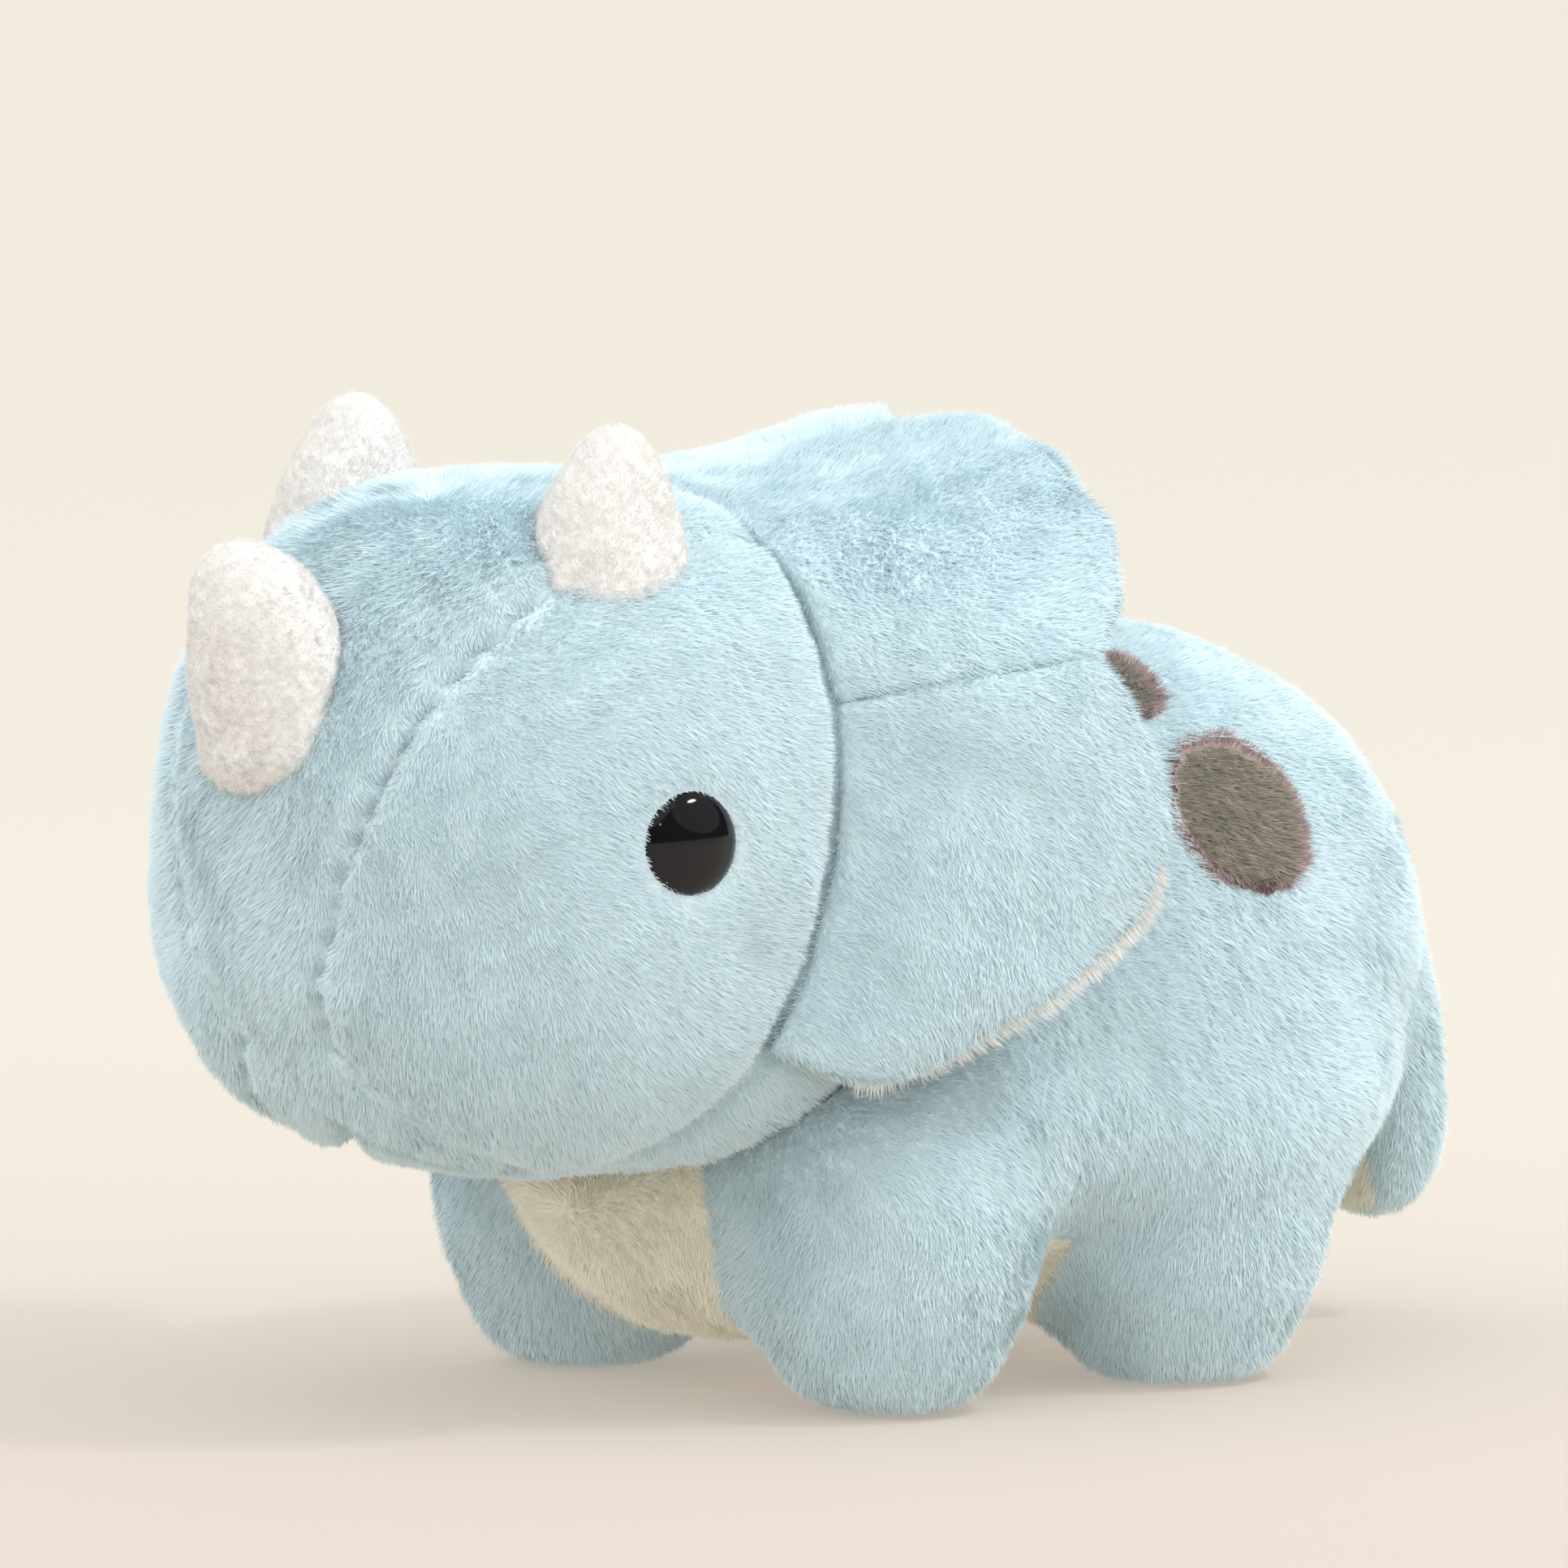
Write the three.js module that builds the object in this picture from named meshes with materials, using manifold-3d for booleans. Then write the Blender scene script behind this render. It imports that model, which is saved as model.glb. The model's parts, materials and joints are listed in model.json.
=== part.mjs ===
// Stuffed baby three-horned dinosaur: a plush toy about 213 mm long, standing on four stubby legs.
// Millimetres, +Z up. The toy faces -Y and its left side is +X. The origin is on the floor, at the
// centre of the toy's box. Every sewn skin is a shell around a solid of stuffing.
import * as THREE from "three";
import { mergeVertices } from "three/addons/utils/BufferGeometryUtils.js";
import Module from "manifold-3d";

const wasm = await Module();
wasm.setup();

// Cloth and clearances
const SKIN = 3.0; // plush fabric with its pile
const GAP = 0.3; // between pieces that touch
const SEAM = 0.4; // between panels sewn to each other
const PLAY = 0.5; // around the parts that flex
const FLATS = 1.035; // a round hole's flats lie inside its circle, so its radius is that much more

// Head
const HEAD_CENTRE = [0, -56.5, 79];
const HEAD_SEMI = [48, 49, 47.5];
const HEAD_DROP = 45.5; // from the centre down to the chin
const SNOUT_POWER = 2.1; // round at the snout
const JAW_POWER = 2.7; // fuller at the front of the jaw
const HEAD_BACK_POWER = 3.0; // boxy where the frill is sewn on
const GUSSET_FOOT = [9, 53]; // half width and height where the gusset is narrowest
const GUSSET_SPREAD = 0.34; // how fast the gusset widens upwards
const CHIN_SPREAD = 0.73; // how fast the chin panel widens downwards

// Neck, a ball of stuffing on which the head turns and nods
const NECK_PIVOT = [0, -14.5, 67.5];
const NECK_RADIUS = 26;
const NECK_TILT = 25; // degrees that the neck's axis looks up from straight ahead
const HEAD_COLLAR = 89; // half angle of the cone that ends the head
const TORSO_COLLAR = 103; // half angle of the cone where the torso starts

// Torso
const TORSO_CENTRE = [0, 31, 55];
const TORSO_SEMI = [49, 62.5, 47.5];
const TORSO_POWER = 2.15;
const CHEST_CENTRE = [0, -10, 28];
const CHEST_SEMI = [27, 40, 22]; // it bulges forward under the jaw, between the front legs
const CHEST_TOP = 31; // the chest in front of the neck stops at this height, clear of the jaw
const BELLY_SEAM = [[-60, 62], [-17, 62], [-9, 34], [8, 21], [40, 19], [75, 27], [110, 40]]; // y, z

// Legs
const LEG_X = 32;
const FRONT_LEG_Y = -18;
const HIND_LEG_Y = 33;
const LEG_PIVOT_Z = 29;
const LEG_RADIUS = 22;
const SOLE_RADIUS = 11;
const LEG_OUTLINE = [[SOLE_RADIUS, 0], [13.5, 3.5], [17, 9], [20.6, 18]]; // radius and z
const LEG_SWING = 8;
const LEG_SIDES = 12;
const SHOULDER_ROOM = 7.5; // between the jaw and the front legs, so that the head can nod

// Horns: the radius at the foot, and how far the foot reaches down to meet the round head
const HORN_RADIUS = 11.8;
const HORN_SINK = 5;
const BROW_HORN_FOOT = [24.5, -62, 109.5];
const BROW_HORN_TIP = [27.5, -62, 136];
const NOSE_HORN_FOOT = [0, -95.5, 96];
const NOSE_HORN_TIP = [0, -106.5, 121];

// Eyes
const EYE_RADIUS = 7.5;
const EYE_HEIGHT = 4.2;
const EYE_AT = [46, -64, 81.5];
const EYE_FACING = [0.975, -0.22, 0];
const EYE_EDGE = 0.6; // the rounding of the rim
const EYE_POST_RADIUS = 1.6;
const EYE_POST_LENGTH = 5.4;
const EYE_HOLE_RADIUS = 1.9; // in the cloth and the washer
const WASHER_RADIUS = 5;
const WASHER_BACK = -5.2; // from the eye's foot
const WASHER_FRONT = -4;

// Frill
const FRILL_SKIN = 2.6;
const FRILL_BATTING = 1.8;
const FRILL_GAP = 1.4; // between its layers, which are coarse facets of curved sheets
const FRILL_END = 122; // degrees round from the top where the frill stops on the jaw
const FRILL_SIDE_SEAM = 67;
const FRILL_STEPS = 10; // across one petal
const FRILL_ROWS = 3;

// Tail
const TAIL_PIVOT = [0, 84, 64];
const TAIL_LIFTS = [-2, 11, 25]; // degrees: its limits, and between them
const TAIL_PLAY = 1.3; // between the tail and the rump

// Spots, each a patch on the flank: centre, half sizes along and up, and the width of its border
const BIG_SPOT = { at: [43, 35, 78], half: [12.5, 10.5], facing: [0.83, 0.12, 0.54], lean: -32 };
const SMALL_SPOT = { at: [27, 24, 97], half: [7.5, 9], facing: [0.5, 0.0, 0.87], lean: 20 };
const SPOT_BORDER = 2.0;
const SPOT_PROUD = 1.4;

// Colours
const blue = new THREE.MeshStandardMaterial({ color: 0xb4d3de, roughness: 0.95, metalness: 0 });
const white = new THREE.MeshStandardMaterial({ color: 0xf1efea, roughness: 0.95, metalness: 0 });
const cream = new THREE.MeshStandardMaterial({ color: 0xe9e2c8, roughness: 0.95, metalness: 0 });
const grey = new THREE.MeshStandardMaterial({ color: 0x77715f, roughness: 0.95, metalness: 0 });
const mauve = new THREE.MeshStandardMaterial({ color: 0x8a7473, roughness: 0.9, metalness: 0 });
const black = new THREE.MeshStandardMaterial({ color: 0x08080a, roughness: 0.08, metalness: 0 });
const washer = new THREE.MeshStandardMaterial({ color: 0xe6e6e2, roughness: 0.5, metalness: 0 });
const fill = new THREE.MeshStandardMaterial({ color: 0xf7f6f2, roughness: 1, metalness: 0 });

const toy = new THREE.Group();
const radians = THREE.MathUtils.degToRad;

// A closed geometry becomes a solid that can be cut and joined.
function solid(geometry) {
  const bare = geometry.clone();
  bare.deleteAttribute("normal");
  bare.deleteAttribute("uv");
  const merged = mergeVertices(bare, 1e-4);
  const triVerts = new Uint32Array(merged.index.array);
  const vertProperties = new Float32Array(merged.attributes.position.array);
  return new wasm.Manifold(new wasm.Mesh({ numProp: 3, vertProperties, triVerts }));
}

// A solid becomes a named mesh of the toy.
function piece(name, body, material) {
  const geometry = surface(body);
  geometry.computeVertexNormals();
  const node = new THREE.Mesh(geometry, material);
  node.name = name;
  toy.add(node);
}

// A ball whose every point is put at the distance that reach(direction) says.
function formed(centre, reach, across, down) {
  const geometry = new THREE.SphereGeometry(1, across, down);
  geometry.rotateX(Math.PI / 2);
  const points = geometry.attributes.position;
  const direction = new THREE.Vector3();
  for (let i = 0; i < points.count; i += 1) {
    direction.fromBufferAttribute(points, i).normalize();
    const far = reach(direction);
    points.setXYZ(
      i,
      centre[0] + direction.x * far,
      centre[1] + direction.y * far,
      centre[2] + direction.z * far,
    );
  }
  return solid(geometry);
}

function superReach(direction, semi, power) {
  const sum =
    Math.abs(direction.x / semi[0]) ** power +
    Math.abs(direction.y / semi[1]) ** power +
    Math.abs(direction.z / semi[2]) ** power;
  return sum ** (-1 / power);
}

function headForm(inset, across = 24, down = 12) {
  const reach = (d) => {
    const back = THREE.MathUtils.smoothstep(d.y, -0.75, 0.25);
    const jaw = THREE.MathUtils.smoothstep(-d.z, 0, 0.7);
    const front = THREE.MathUtils.lerp(SNOUT_POWER, JAW_POWER, jaw);
    const semi = d.z < 0 ? [HEAD_SEMI[0], HEAD_SEMI[1], HEAD_DROP] : HEAD_SEMI;
    return superReach(d, semi, THREE.MathUtils.lerp(front, HEAD_BACK_POWER, back)) - inset;
  };
  return formed(HEAD_CENTRE, reach, across, down);
}

function torsoForm(inset, across = 22, down = 12) {
  return formed(TORSO_CENTRE, (d) => superReach(d, TORSO_SEMI, TORSO_POWER) - inset, across, down);
}

function trunkForm(inset) {
  const chest = formed(CHEST_CENTRE, (d) => superReach(d, CHEST_SEMI, 2) - inset, 20, 10);
  return torsoForm(inset).add(chest);
}

function ball(centre, radius, across = 16, down = 8) {
  return formed(centre, () => radius, across, down);
}

// A solid turned from [radius, z] pairs, standing on +Z.
function turned(outline, segments) {
  const points = outline.map(([radius, z]) => new THREE.Vector2(radius, z));
  const geometry = new THREE.LatheGeometry(points, segments);
  geometry.rotateX(Math.PI / 2);
  return solid(geometry);
}

// The triangles of a solid, as a three.js geometry.
function surface(body) {
  const mesh = body.getMesh();
  const geometry = new THREE.BufferGeometry();
  geometry.setAttribute("position", new THREE.BufferAttribute(mesh.vertProperties, 3));
  geometry.setIndex(new THREE.BufferAttribute(mesh.triVerts, 1));
  return geometry;
}

function moved(body, x, y, z) {
  return solid(surface(body).translate(x, y, z));
}

// Stands a solid, made along +Z from the origin, on a foot so that it points along a direction.
function stand(body, foot, along) {
  const turn = new THREE.Quaternion().setFromUnitVectors(
    new THREE.Vector3(0, 0, 1),
    new THREE.Vector3(...along).normalize(),
  );
  return solid(surface(body).applyQuaternion(turn).translate(...foot));
}

function block(low, high) {
  const size = high.map((value, axis) => value - low[axis]);
  const geometry = new THREE.BoxGeometry(...size);
  geometry.translate((low[0] + high[0]) / 2, (low[1] + high[1]) / 2, (low[2] + high[2]) / 2);
  return solid(geometry);
}

// A long prism whose outline is drawn in the plane of two axes.
function prism(outline, plane, from, to) {
  const shape = new THREE.Shape(outline.map(([a, b]) => new THREE.Vector2(a, b)));
  const geometry = new THREE.ExtrudeGeometry(shape, { depth: to - from, bevelEnabled: false });
  geometry.translate(0, 0, from);
  if (plane === "yz") {
    geometry.applyMatrix4(new THREE.Matrix4().set(0, 0, 1, 0, 1, 0, 0, 0, 0, 1, 0, 0, 0, 0, 0, 1));
  }
  if (plane === "xz") {
    geometry.applyMatrix4(new THREE.Matrix4().set(1, 0, 0, 0, 0, 0, -1, 0, 0, 1, 0, 0, 0, 0, 0, 1));
  }
  return solid(geometry);
}

// A cone of space around the neck's axis: everything within the half angle of the look direction.
function neckCone(halfAngle) {
  const long = 250;
  const outline = [];
  const steps = 2;
  outline.push([0, 0]);
  for (let i = 0; i <= steps; i += 1) {
    const angle = radians(halfAngle * (1 - i / steps));
    outline.push([Math.sin(angle) * long, Math.cos(angle) * long]);
  }
  outline[outline.length - 1][0] = 0;
  const tilt = radians(NECK_TILT);
  return stand(turned(outline, 20), NECK_PIVOT, [0, -Math.cos(tilt), Math.sin(tilt)]);
}

// ---- Legs ------------------------------------------------------------------------------------

function legForm(inset) {
  const outline = LEG_OUTLINE.map(([radius, z]) => [radius - inset, z]);
  const radius = LEG_RADIUS - inset;
  const steps = 4;
  for (let i = 0; i <= steps; i += 1) {
    const angle = (i / steps) * (Math.PI / 2);
    outline.push([Math.cos(angle) * radius, LEG_PIVOT_Z + Math.sin(angle) * radius]);
  }
  outline[outline.length - 1][0] = 0;
  outline.unshift([0, 0]);
  return turned(outline, LEG_SIDES);
}

// The room a leg needs in the torso: its ball, and a skirt that opens downwards for the swing.
function legRoom(at) {
  const reach = (LEG_RADIUS + PLAY) * FLATS;
  const skirt = reach + Math.tan(radians(LEG_SWING + 1)) * LEG_PIVOT_Z;
  const outline = [[0, -5], [skirt, -5], [reach, LEG_PIVOT_Z]];
  const steps = 3;
  for (let i = 1; i <= steps; i += 1) {
    const angle = (i / steps) * (Math.PI / 2);
    outline.push([Math.cos(angle) * reach, LEG_PIVOT_Z + Math.sin(angle) * reach]);
  }
  outline[outline.length - 1][0] = 0;
  return moved(turned(outline, LEG_SIDES), at[0], at[1], 0);
}

const legs = [
  { name: "front_left", at: [LEG_X, FRONT_LEG_Y] },
  { name: "front_right", at: [-LEG_X, FRONT_LEG_Y] },
  { name: "hind_left", at: [LEG_X, HIND_LEG_Y] },
  { name: "hind_right", at: [-LEG_X, HIND_LEG_Y] },
];

function makeLeg({ name, at }) {
  const opening = SOLE_RADIUS - SKIN + 0.5;
  const hole = turned([[0, -1], [opening, -1], [opening, SKIN + 1], [0, SKIN + 1]], LEG_SIDES);
  const hollow = legForm(SKIN).subtract(block([-40, -40, -1], [40, 40, SKIN]));
  const cover = legForm(0).subtract(hollow).subtract(hole);
  const rim = opening - GAP;
  const sole = turned([[0, 0], [rim, 0], [rim, SKIN - GAP], [0, SKIN - GAP]], LEG_SIDES);
  const inner = legForm(SKIN + GAP).subtract(block([-40, -40, -1], [40, 40, SKIN + GAP]));
  piece(`leg_${name}_cover`, moved(cover, ...at, 0), blue);
  piece(`leg_${name}_sole`, moved(sole, ...at, 0), blue);
  piece(`leg_${name}_stuffing`, moved(inner, ...at, 0), fill);
}

// ---- Tail ------------------------------------------------------------------------------------

// The tail is a soft stub that leaves the rump at a ball and droops to a blunt tip: the middle of
// each of its level sections, and that section's half width and half depth.
const TAIL_SPINE = [
  { at: [0, 83, 67], half: [10, 8] },
  { at: [0, 86, 57], half: [14, 12] },
  { at: [0, 92, 46], half: [14, 10.5] },
  { at: [0, 96, 36], half: [12.8, 9] },
  { at: [0, 98, 26], half: [11.5, 8] },
  { at: [0, 97.5, 19], half: [8.5, 5.5] },
];
const TAIL_TOP = [0, 83, 71];
const TAIL_TIP = [0, 96.5, 15.5];

// Level rings round the spine, closed at the top and the tip.
function tailForm(inset) {
  const around = 14;
  const rows = TAIL_SPINE.length;
  const geometry = new THREE.SphereGeometry(1, around, rows + 1);
  geometry.rotateX(Math.PI / 2);
  const points = geometry.attributes.position;
  for (let i = 0; i < points.count; i += 1) {
    const row = Math.floor(i / (around + 1));
    const turn = ((i % (around + 1)) / around) * Math.PI * 2;
    if (row === 0) {
      points.setXYZ(i, TAIL_TOP[0], TAIL_TOP[1], TAIL_TOP[2] - inset);
    } else if (row > rows) {
      points.setXYZ(i, TAIL_TIP[0], TAIL_TIP[1], TAIL_TIP[2] + inset);
    } else {
      const { at, half } = TAIL_SPINE[row - 1];
      points.setXYZ(
        i,
        at[0] + Math.cos(turn) * (half[0] - inset),
        at[1] + Math.sin(turn) * (half[1] - inset),
        at[2],
      );
    }
  }
  return solid(geometry);
}

// The tail's solid, turned on its root.
function lifted(body, degrees) {
  const [x, y, z] = TAIL_PIVOT;
  const turnedUp = surface(body).translate(-x, -y, -z).rotateX(radians(degrees));
  return solid(turnedUp.translate(x, y, z));
}

// ---- Torso -----------------------------------------------------------------------------------

function carveTorso(body) {
  let carved = body;
  for (const leg of legs) {
    carved = carved.subtract(legRoom(leg.at));
  }
  carved = carved.subtract(ball(NECK_PIVOT, (NECK_RADIUS + PLAY) * FLATS));
  const aboveChest = block([-200, -200, CHEST_TOP], [200, 200, 200]);
  carved = carved.subtract(neckCone(TORSO_COLLAR).intersect(aboveChest));
  for (const lift of TAIL_LIFTS) {
    carved = carved.subtract(lifted(tailForm(-TAIL_PLAY), lift));
  }
  return carved;
}

function bellySide(shift) {
  const top = BELLY_SEAM.map(([y, z]) => [y, z + shift]);
  return prism([[-60, -20], [110, -20], ...top.reverse()], "yz", -80, 80);
}

function makeTorso() {
  const shell = carveTorso(trunkForm(0).subtract(trunkForm(SKIN)));
  const upper = shell.subtract(bellySide(SEAM / 2));
  const half = block([SEAM / 2, -200, -200], [200, 200, 200]);
  const otherHalf = block([-200, -200, -200], [-SEAM / 2, 200, 200]);
  piece("torso_left_panel", upper.intersect(half), blue);
  piece("torso_right_panel", upper.intersect(otherHalf), blue);
  piece("belly_panel", shell.intersect(bellySide(-SEAM / 2)), cream);
  piece("torso_stuffing", carveTorso(trunkForm(SKIN + GAP)), fill);
}

// ---- Spots -----------------------------------------------------------------------------------

function mirrored(vector, side) {
  return [vector[0] * side, vector[1], vector[2]];
}

// A column with an oval section that stands on the flank and looks along the spot's facing.
function spotColumn({ at, half, facing, lean }, side, grow) {
  const outline = new THREE.Shape();
  outline.absellipse(0, 0, half[0] + grow, half[1] + grow, 0, Math.PI * 2);
  const geometry = new THREE.ExtrudeGeometry(outline, {
    depth: 24,
    bevelEnabled: false,
    curveSegments: 5,
  });
  geometry.translate(0, 0, -12);
  geometry.rotateZ(radians(lean * side));
  const out = new THREE.Vector3(...mirrored(facing, side)).normalize();
  const along = new THREE.Vector3(0, 1, 0).projectOnPlane(out).normalize();
  const up = new THREE.Vector3().crossVectors(out, along);
  const frame = new THREE.Matrix4().makeBasis(along, up, out).setPosition(...mirrored(at, side));
  return solid(geometry.applyMatrix4(frame));
}

function makeSpots() {
  const layer = torsoForm(-SPOT_PROUD - GAP).subtract(torsoForm(-GAP));
  for (const [side, sideName] of [[1, "left"], [-1, "right"]]) {
    for (const [spot, spotName] of [[BIG_SPOT, "big"], [SMALL_SPOT, "small"]]) {
      const patch = spotColumn(spot, side, 0);
      const outer = spotColumn(spot, side, SPOT_BORDER);
      const inner = spotColumn(spot, side, GAP);
      piece(`${spotName}_spot_${sideName}`, layer.intersect(patch), grey);
      piece(`${spotName}_spot_border_${sideName}`, layer.intersect(outer).subtract(inner), mauve);
    }
  }
}

// ---- Head ------------------------------------------------------------------------------------

const horns = [
  { name: "nose_horn", foot: NOSE_HORN_FOOT, tip: NOSE_HORN_TIP },
  { name: "brow_horn_left", foot: BROW_HORN_FOOT, tip: BROW_HORN_TIP },
  {
    name: "brow_horn_right",
    foot: mirrored(BROW_HORN_FOOT, -1),
    tip: mirrored(BROW_HORN_TIP, -1),
  },
];

// A stubby horn: a rounded cone, wide at its foot and blunt at its tip.
function hornForm(length, inset, sink) {
  const outline = [[0, -sink], [HORN_RADIUS - inset, -sink]];
  const steps = 5;
  for (let i = 0; i < steps; i += 1) {
    const t = 1 - (1 - i / steps) ** 1.8;
    const radius = HORN_RADIUS * Math.sqrt(1 - t ** 2.4) * (1 - 0.22 * t) - inset;
    outline.push([radius, t * (length - inset)]);
  }
  outline.push([0, length - inset]);
  return turned(outline, 12);
}

function makeHorns() {
  const crown = headForm(-GAP);
  const thick = SKIN - 0.6;
  for (const { name, foot, tip } of horns) {
    const along = tip.map((value, axis) => value - foot[axis]);
    const length = Math.hypot(...along);
    const outer = stand(hornForm(length, 0, HORN_SINK), foot, along).subtract(crown);
    const hollow = stand(hornForm(length, thick, HORN_SINK + 1), foot, along);
    const inner = stand(hornForm(length, thick + GAP, HORN_SINK), foot, along);
    piece(`${name}_cover`, outer.subtract(hollow), white);
    piece(`${name}_stuffing`, inner.subtract(crown), fill);
  }
}

// The gusset's space: between two planes that lean outwards, above the narrowest place.
function gussetSpace(grow) {
  const [halfWidth, foot] = GUSSET_FOOT;
  const top = 140;
  const wide = halfWidth + GUSSET_SPREAD * (top - foot) + grow;
  return prism(
    [[-halfWidth - grow, foot], [halfWidth + grow, foot], [wide, top], [-wide, top]],
    "xz",
    -40,
    140,
  );
}

// The chin panel's space: below the narrowest place, it widens again towards the throat.
function chinSpace(grow) {
  const [halfWidth, foot] = GUSSET_FOOT;
  const bottom = 20;
  const wide = halfWidth + CHIN_SPREAD * (foot - bottom) + grow;
  return prism(
    [[-wide, bottom], [wide, bottom], [halfWidth + grow, foot], [-halfWidth - grow, foot]],
    "xz",
    -40,
    140,
  );
}

function eyeSpace(radius, from, to, side) {
  const outline = [[0, from], [radius, from], [radius, to], [0, to]];
  return stand(turned(outline, 16), mirrored(EYE_AT, side), mirrored(EYE_FACING, side));
}

function makeEye(side, sideName) {
  const outline = [
    [0, -EYE_POST_LENGTH],
    [EYE_POST_RADIUS, -EYE_POST_LENGTH],
    [EYE_POST_RADIUS, 0],
    [EYE_RADIUS - EYE_EDGE, 0],
    [EYE_RADIUS, EYE_EDGE],
  ];
  const steps = 4;
  for (let i = 1; i <= steps; i += 1) {
    const angle = (i / steps) * (Math.PI / 2);
    const rise = Math.sin(angle) * (EYE_HEIGHT - EYE_EDGE);
    outline.push([Math.cos(angle) * EYE_RADIUS, EYE_EDGE + rise]);
  }
  outline[outline.length - 1][0] = 0;
  const eye = stand(turned(outline, 16), mirrored(EYE_AT, side), mirrored(EYE_FACING, side));
  const hole = eyeSpace(EYE_HOLE_RADIUS, WASHER_BACK - 1, WASHER_FRONT + 1, side);
  const ring = eyeSpace(WASHER_RADIUS, WASHER_BACK, WASHER_FRONT, side).subtract(hole);
  piece(`eye_${sideName}`, eye, black);
  piece(`eye_washer_${sideName}`, ring, washer);
}

function carveHead(body) {
  let carved = body.intersect(neckCone(HEAD_COLLAR));
  carved = carved.subtract(ball(NECK_PIVOT, (NECK_RADIUS + PLAY) * FLATS));
  for (const side of [1, -1]) {
    const shoulder = [side * LEG_X, FRONT_LEG_Y, LEG_PIVOT_Z];
    carved = carved.subtract(ball(shoulder, LEG_RADIUS + SHOULDER_ROOM, 12, 6));
    carved = carved.subtract(eyeSpace(EYE_RADIUS + GAP, -GAP, 20, side));
    carved = carved.subtract(eyeSpace(EYE_HOLE_RADIUS, -6, 1, side));
    const room = [WASHER_RADIUS + GAP, WASHER_BACK - GAP, WASHER_FRONT + GAP];
    carved = carved.subtract(eyeSpace(...room, side));
  }
  return carved;
}

function makeHead() {
  const shell = carveHead(headForm(0).subtract(headForm(SKIN)));
  const sides = shell.subtract(gussetSpace(SEAM / 2)).subtract(chinSpace(SEAM / 2));
  const left = block([0, -200, -200], [200, 200, 200]);
  const right = block([-200, -200, -200], [0, 200, 200]);
  const above = block([-200, -200, GUSSET_FOOT[1] + SEAM / 2], [200, 200, 200]);
  const below = block([-200, -200, -200], [200, 200, GUSSET_FOOT[1] - SEAM / 2]);
  piece("head_left_panel", sides.intersect(left), blue);
  piece("head_right_panel", sides.intersect(right), blue);
  piece("head_gusset", shell.intersect(gussetSpace(-SEAM / 2)).intersect(above), blue);
  piece("chin_panel", shell.intersect(chinSpace(-SEAM / 2)).intersect(below), blue);
  piece("head_stuffing", carveHead(headForm(SKIN + GAP)), fill);
}

// ---- Frill -----------------------------------------------------------------------------------

// The frill is a hood sewn round the back of the head. It is drawn by how far round it is from the
// top, in degrees, and how far out it is from its sewn edge, 0, to its rim, 1.
const RIM = [ // degrees round, distance from the head's axis, and y
  [0, 52.5, 14],
  [18, 54, 17],
  [38, 56.5, 15],
  [55, 59.5, 10],
  [FRILL_SIDE_SEAM, 63.5, 1],
  [84, 67.5, 2],
  [100, 68, -5],
  [111, 65, -19],
  [FRILL_END, 60, -35],
];
const FRILL_RING_Y = -39;
const FRILL_RING_LOW = { from: 75, forward: 10 }; // below this angle the sewn edge runs forward
const FRILL_SWELL = { top: -2.5, side: 3 }; // hollow over the neck, full at the sides

function rimAt(degrees) {
  const curve = new THREE.CatmullRomCurve3(RIM.map((p) => new THREE.Vector3(...p)));
  let low = 0;
  let high = 1;
  for (let i = 0; i < 24; i += 1) {
    const middle = (low + high) / 2;
    if (curve.getPoint(middle).x < degrees) {
      low = middle;
    } else {
      high = middle;
    }
  }
  const found = curve.getPoint(low);
  return { radius: found.y, y: found.z };
}

// The outer face of the frill.
function frillFace(degrees, t) {
  const side = Math.sign(degrees) || 1;
  const round = radians(Math.abs(degrees));
  const out = new THREE.Vector3(Math.sin(round), 0, Math.cos(round));
  const ringReach = superReach(out, HEAD_SEMI, HEAD_BACK_POWER) + 0.5;
  const rim = rimAt(Math.abs(degrees));
  const sideways = THREE.MathUtils.smoothstep(Math.abs(degrees), 15, 60);
  const fullness = THREE.MathUtils.lerp(FRILL_SWELL.top, FRILL_SWELL.side, sideways);
  const swell = fullness * Math.sin(Math.PI * t);
  const radius = THREE.MathUtils.lerp(ringReach, rim.radius, t) + swell;
  const low = Math.max(0, Math.abs(degrees) - FRILL_RING_LOW.from) / (FRILL_END - FRILL_RING_LOW.from);
  const ringY = FRILL_RING_Y - FRILL_RING_LOW.forward * low ** 2;
  const y = THREE.MathUtils.lerp(ringY, rim.y, t);
  return new THREE.Vector3(side * out.x * radius, y, HEAD_CENTRE[2] + out.z * radius);
}

// A point under the outer face, square to it.
function frillPoint(degrees, t, depth) {
  const face = frillFace(degrees, t);
  const small = 0.01;
  const turn = 0.5;
  const round = frillFace(degrees + turn, t).sub(frillFace(degrees - turn, t));
  const outwards = frillFace(degrees, t + small).sub(frillFace(degrees, t - small));
  const inwards = outwards.cross(round).normalize();
  return face.addScaledVector(inwards, depth);
}

// One layer of one petal, between two angles and two depths, from a box bent to the frill.
function petal(fromDegrees, toDegrees, outerDepth, innerDepth) {
  const geometry = new THREE.BoxGeometry(1, 1, 1, FRILL_STEPS, FRILL_ROWS, 1);
  const points = geometry.attributes.position;
  for (let i = 0; i < points.count; i += 1) {
    const degrees = THREE.MathUtils.lerp(fromDegrees, toDegrees, points.getX(i) + 0.5);
    const depth = points.getZ(i) > 0 ? outerDepth : innerDepth;
    points.setXYZ(i, ...frillPoint(degrees, points.getY(i) + 0.5, depth).toArray());
  }
  return solid(geometry);
}

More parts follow.
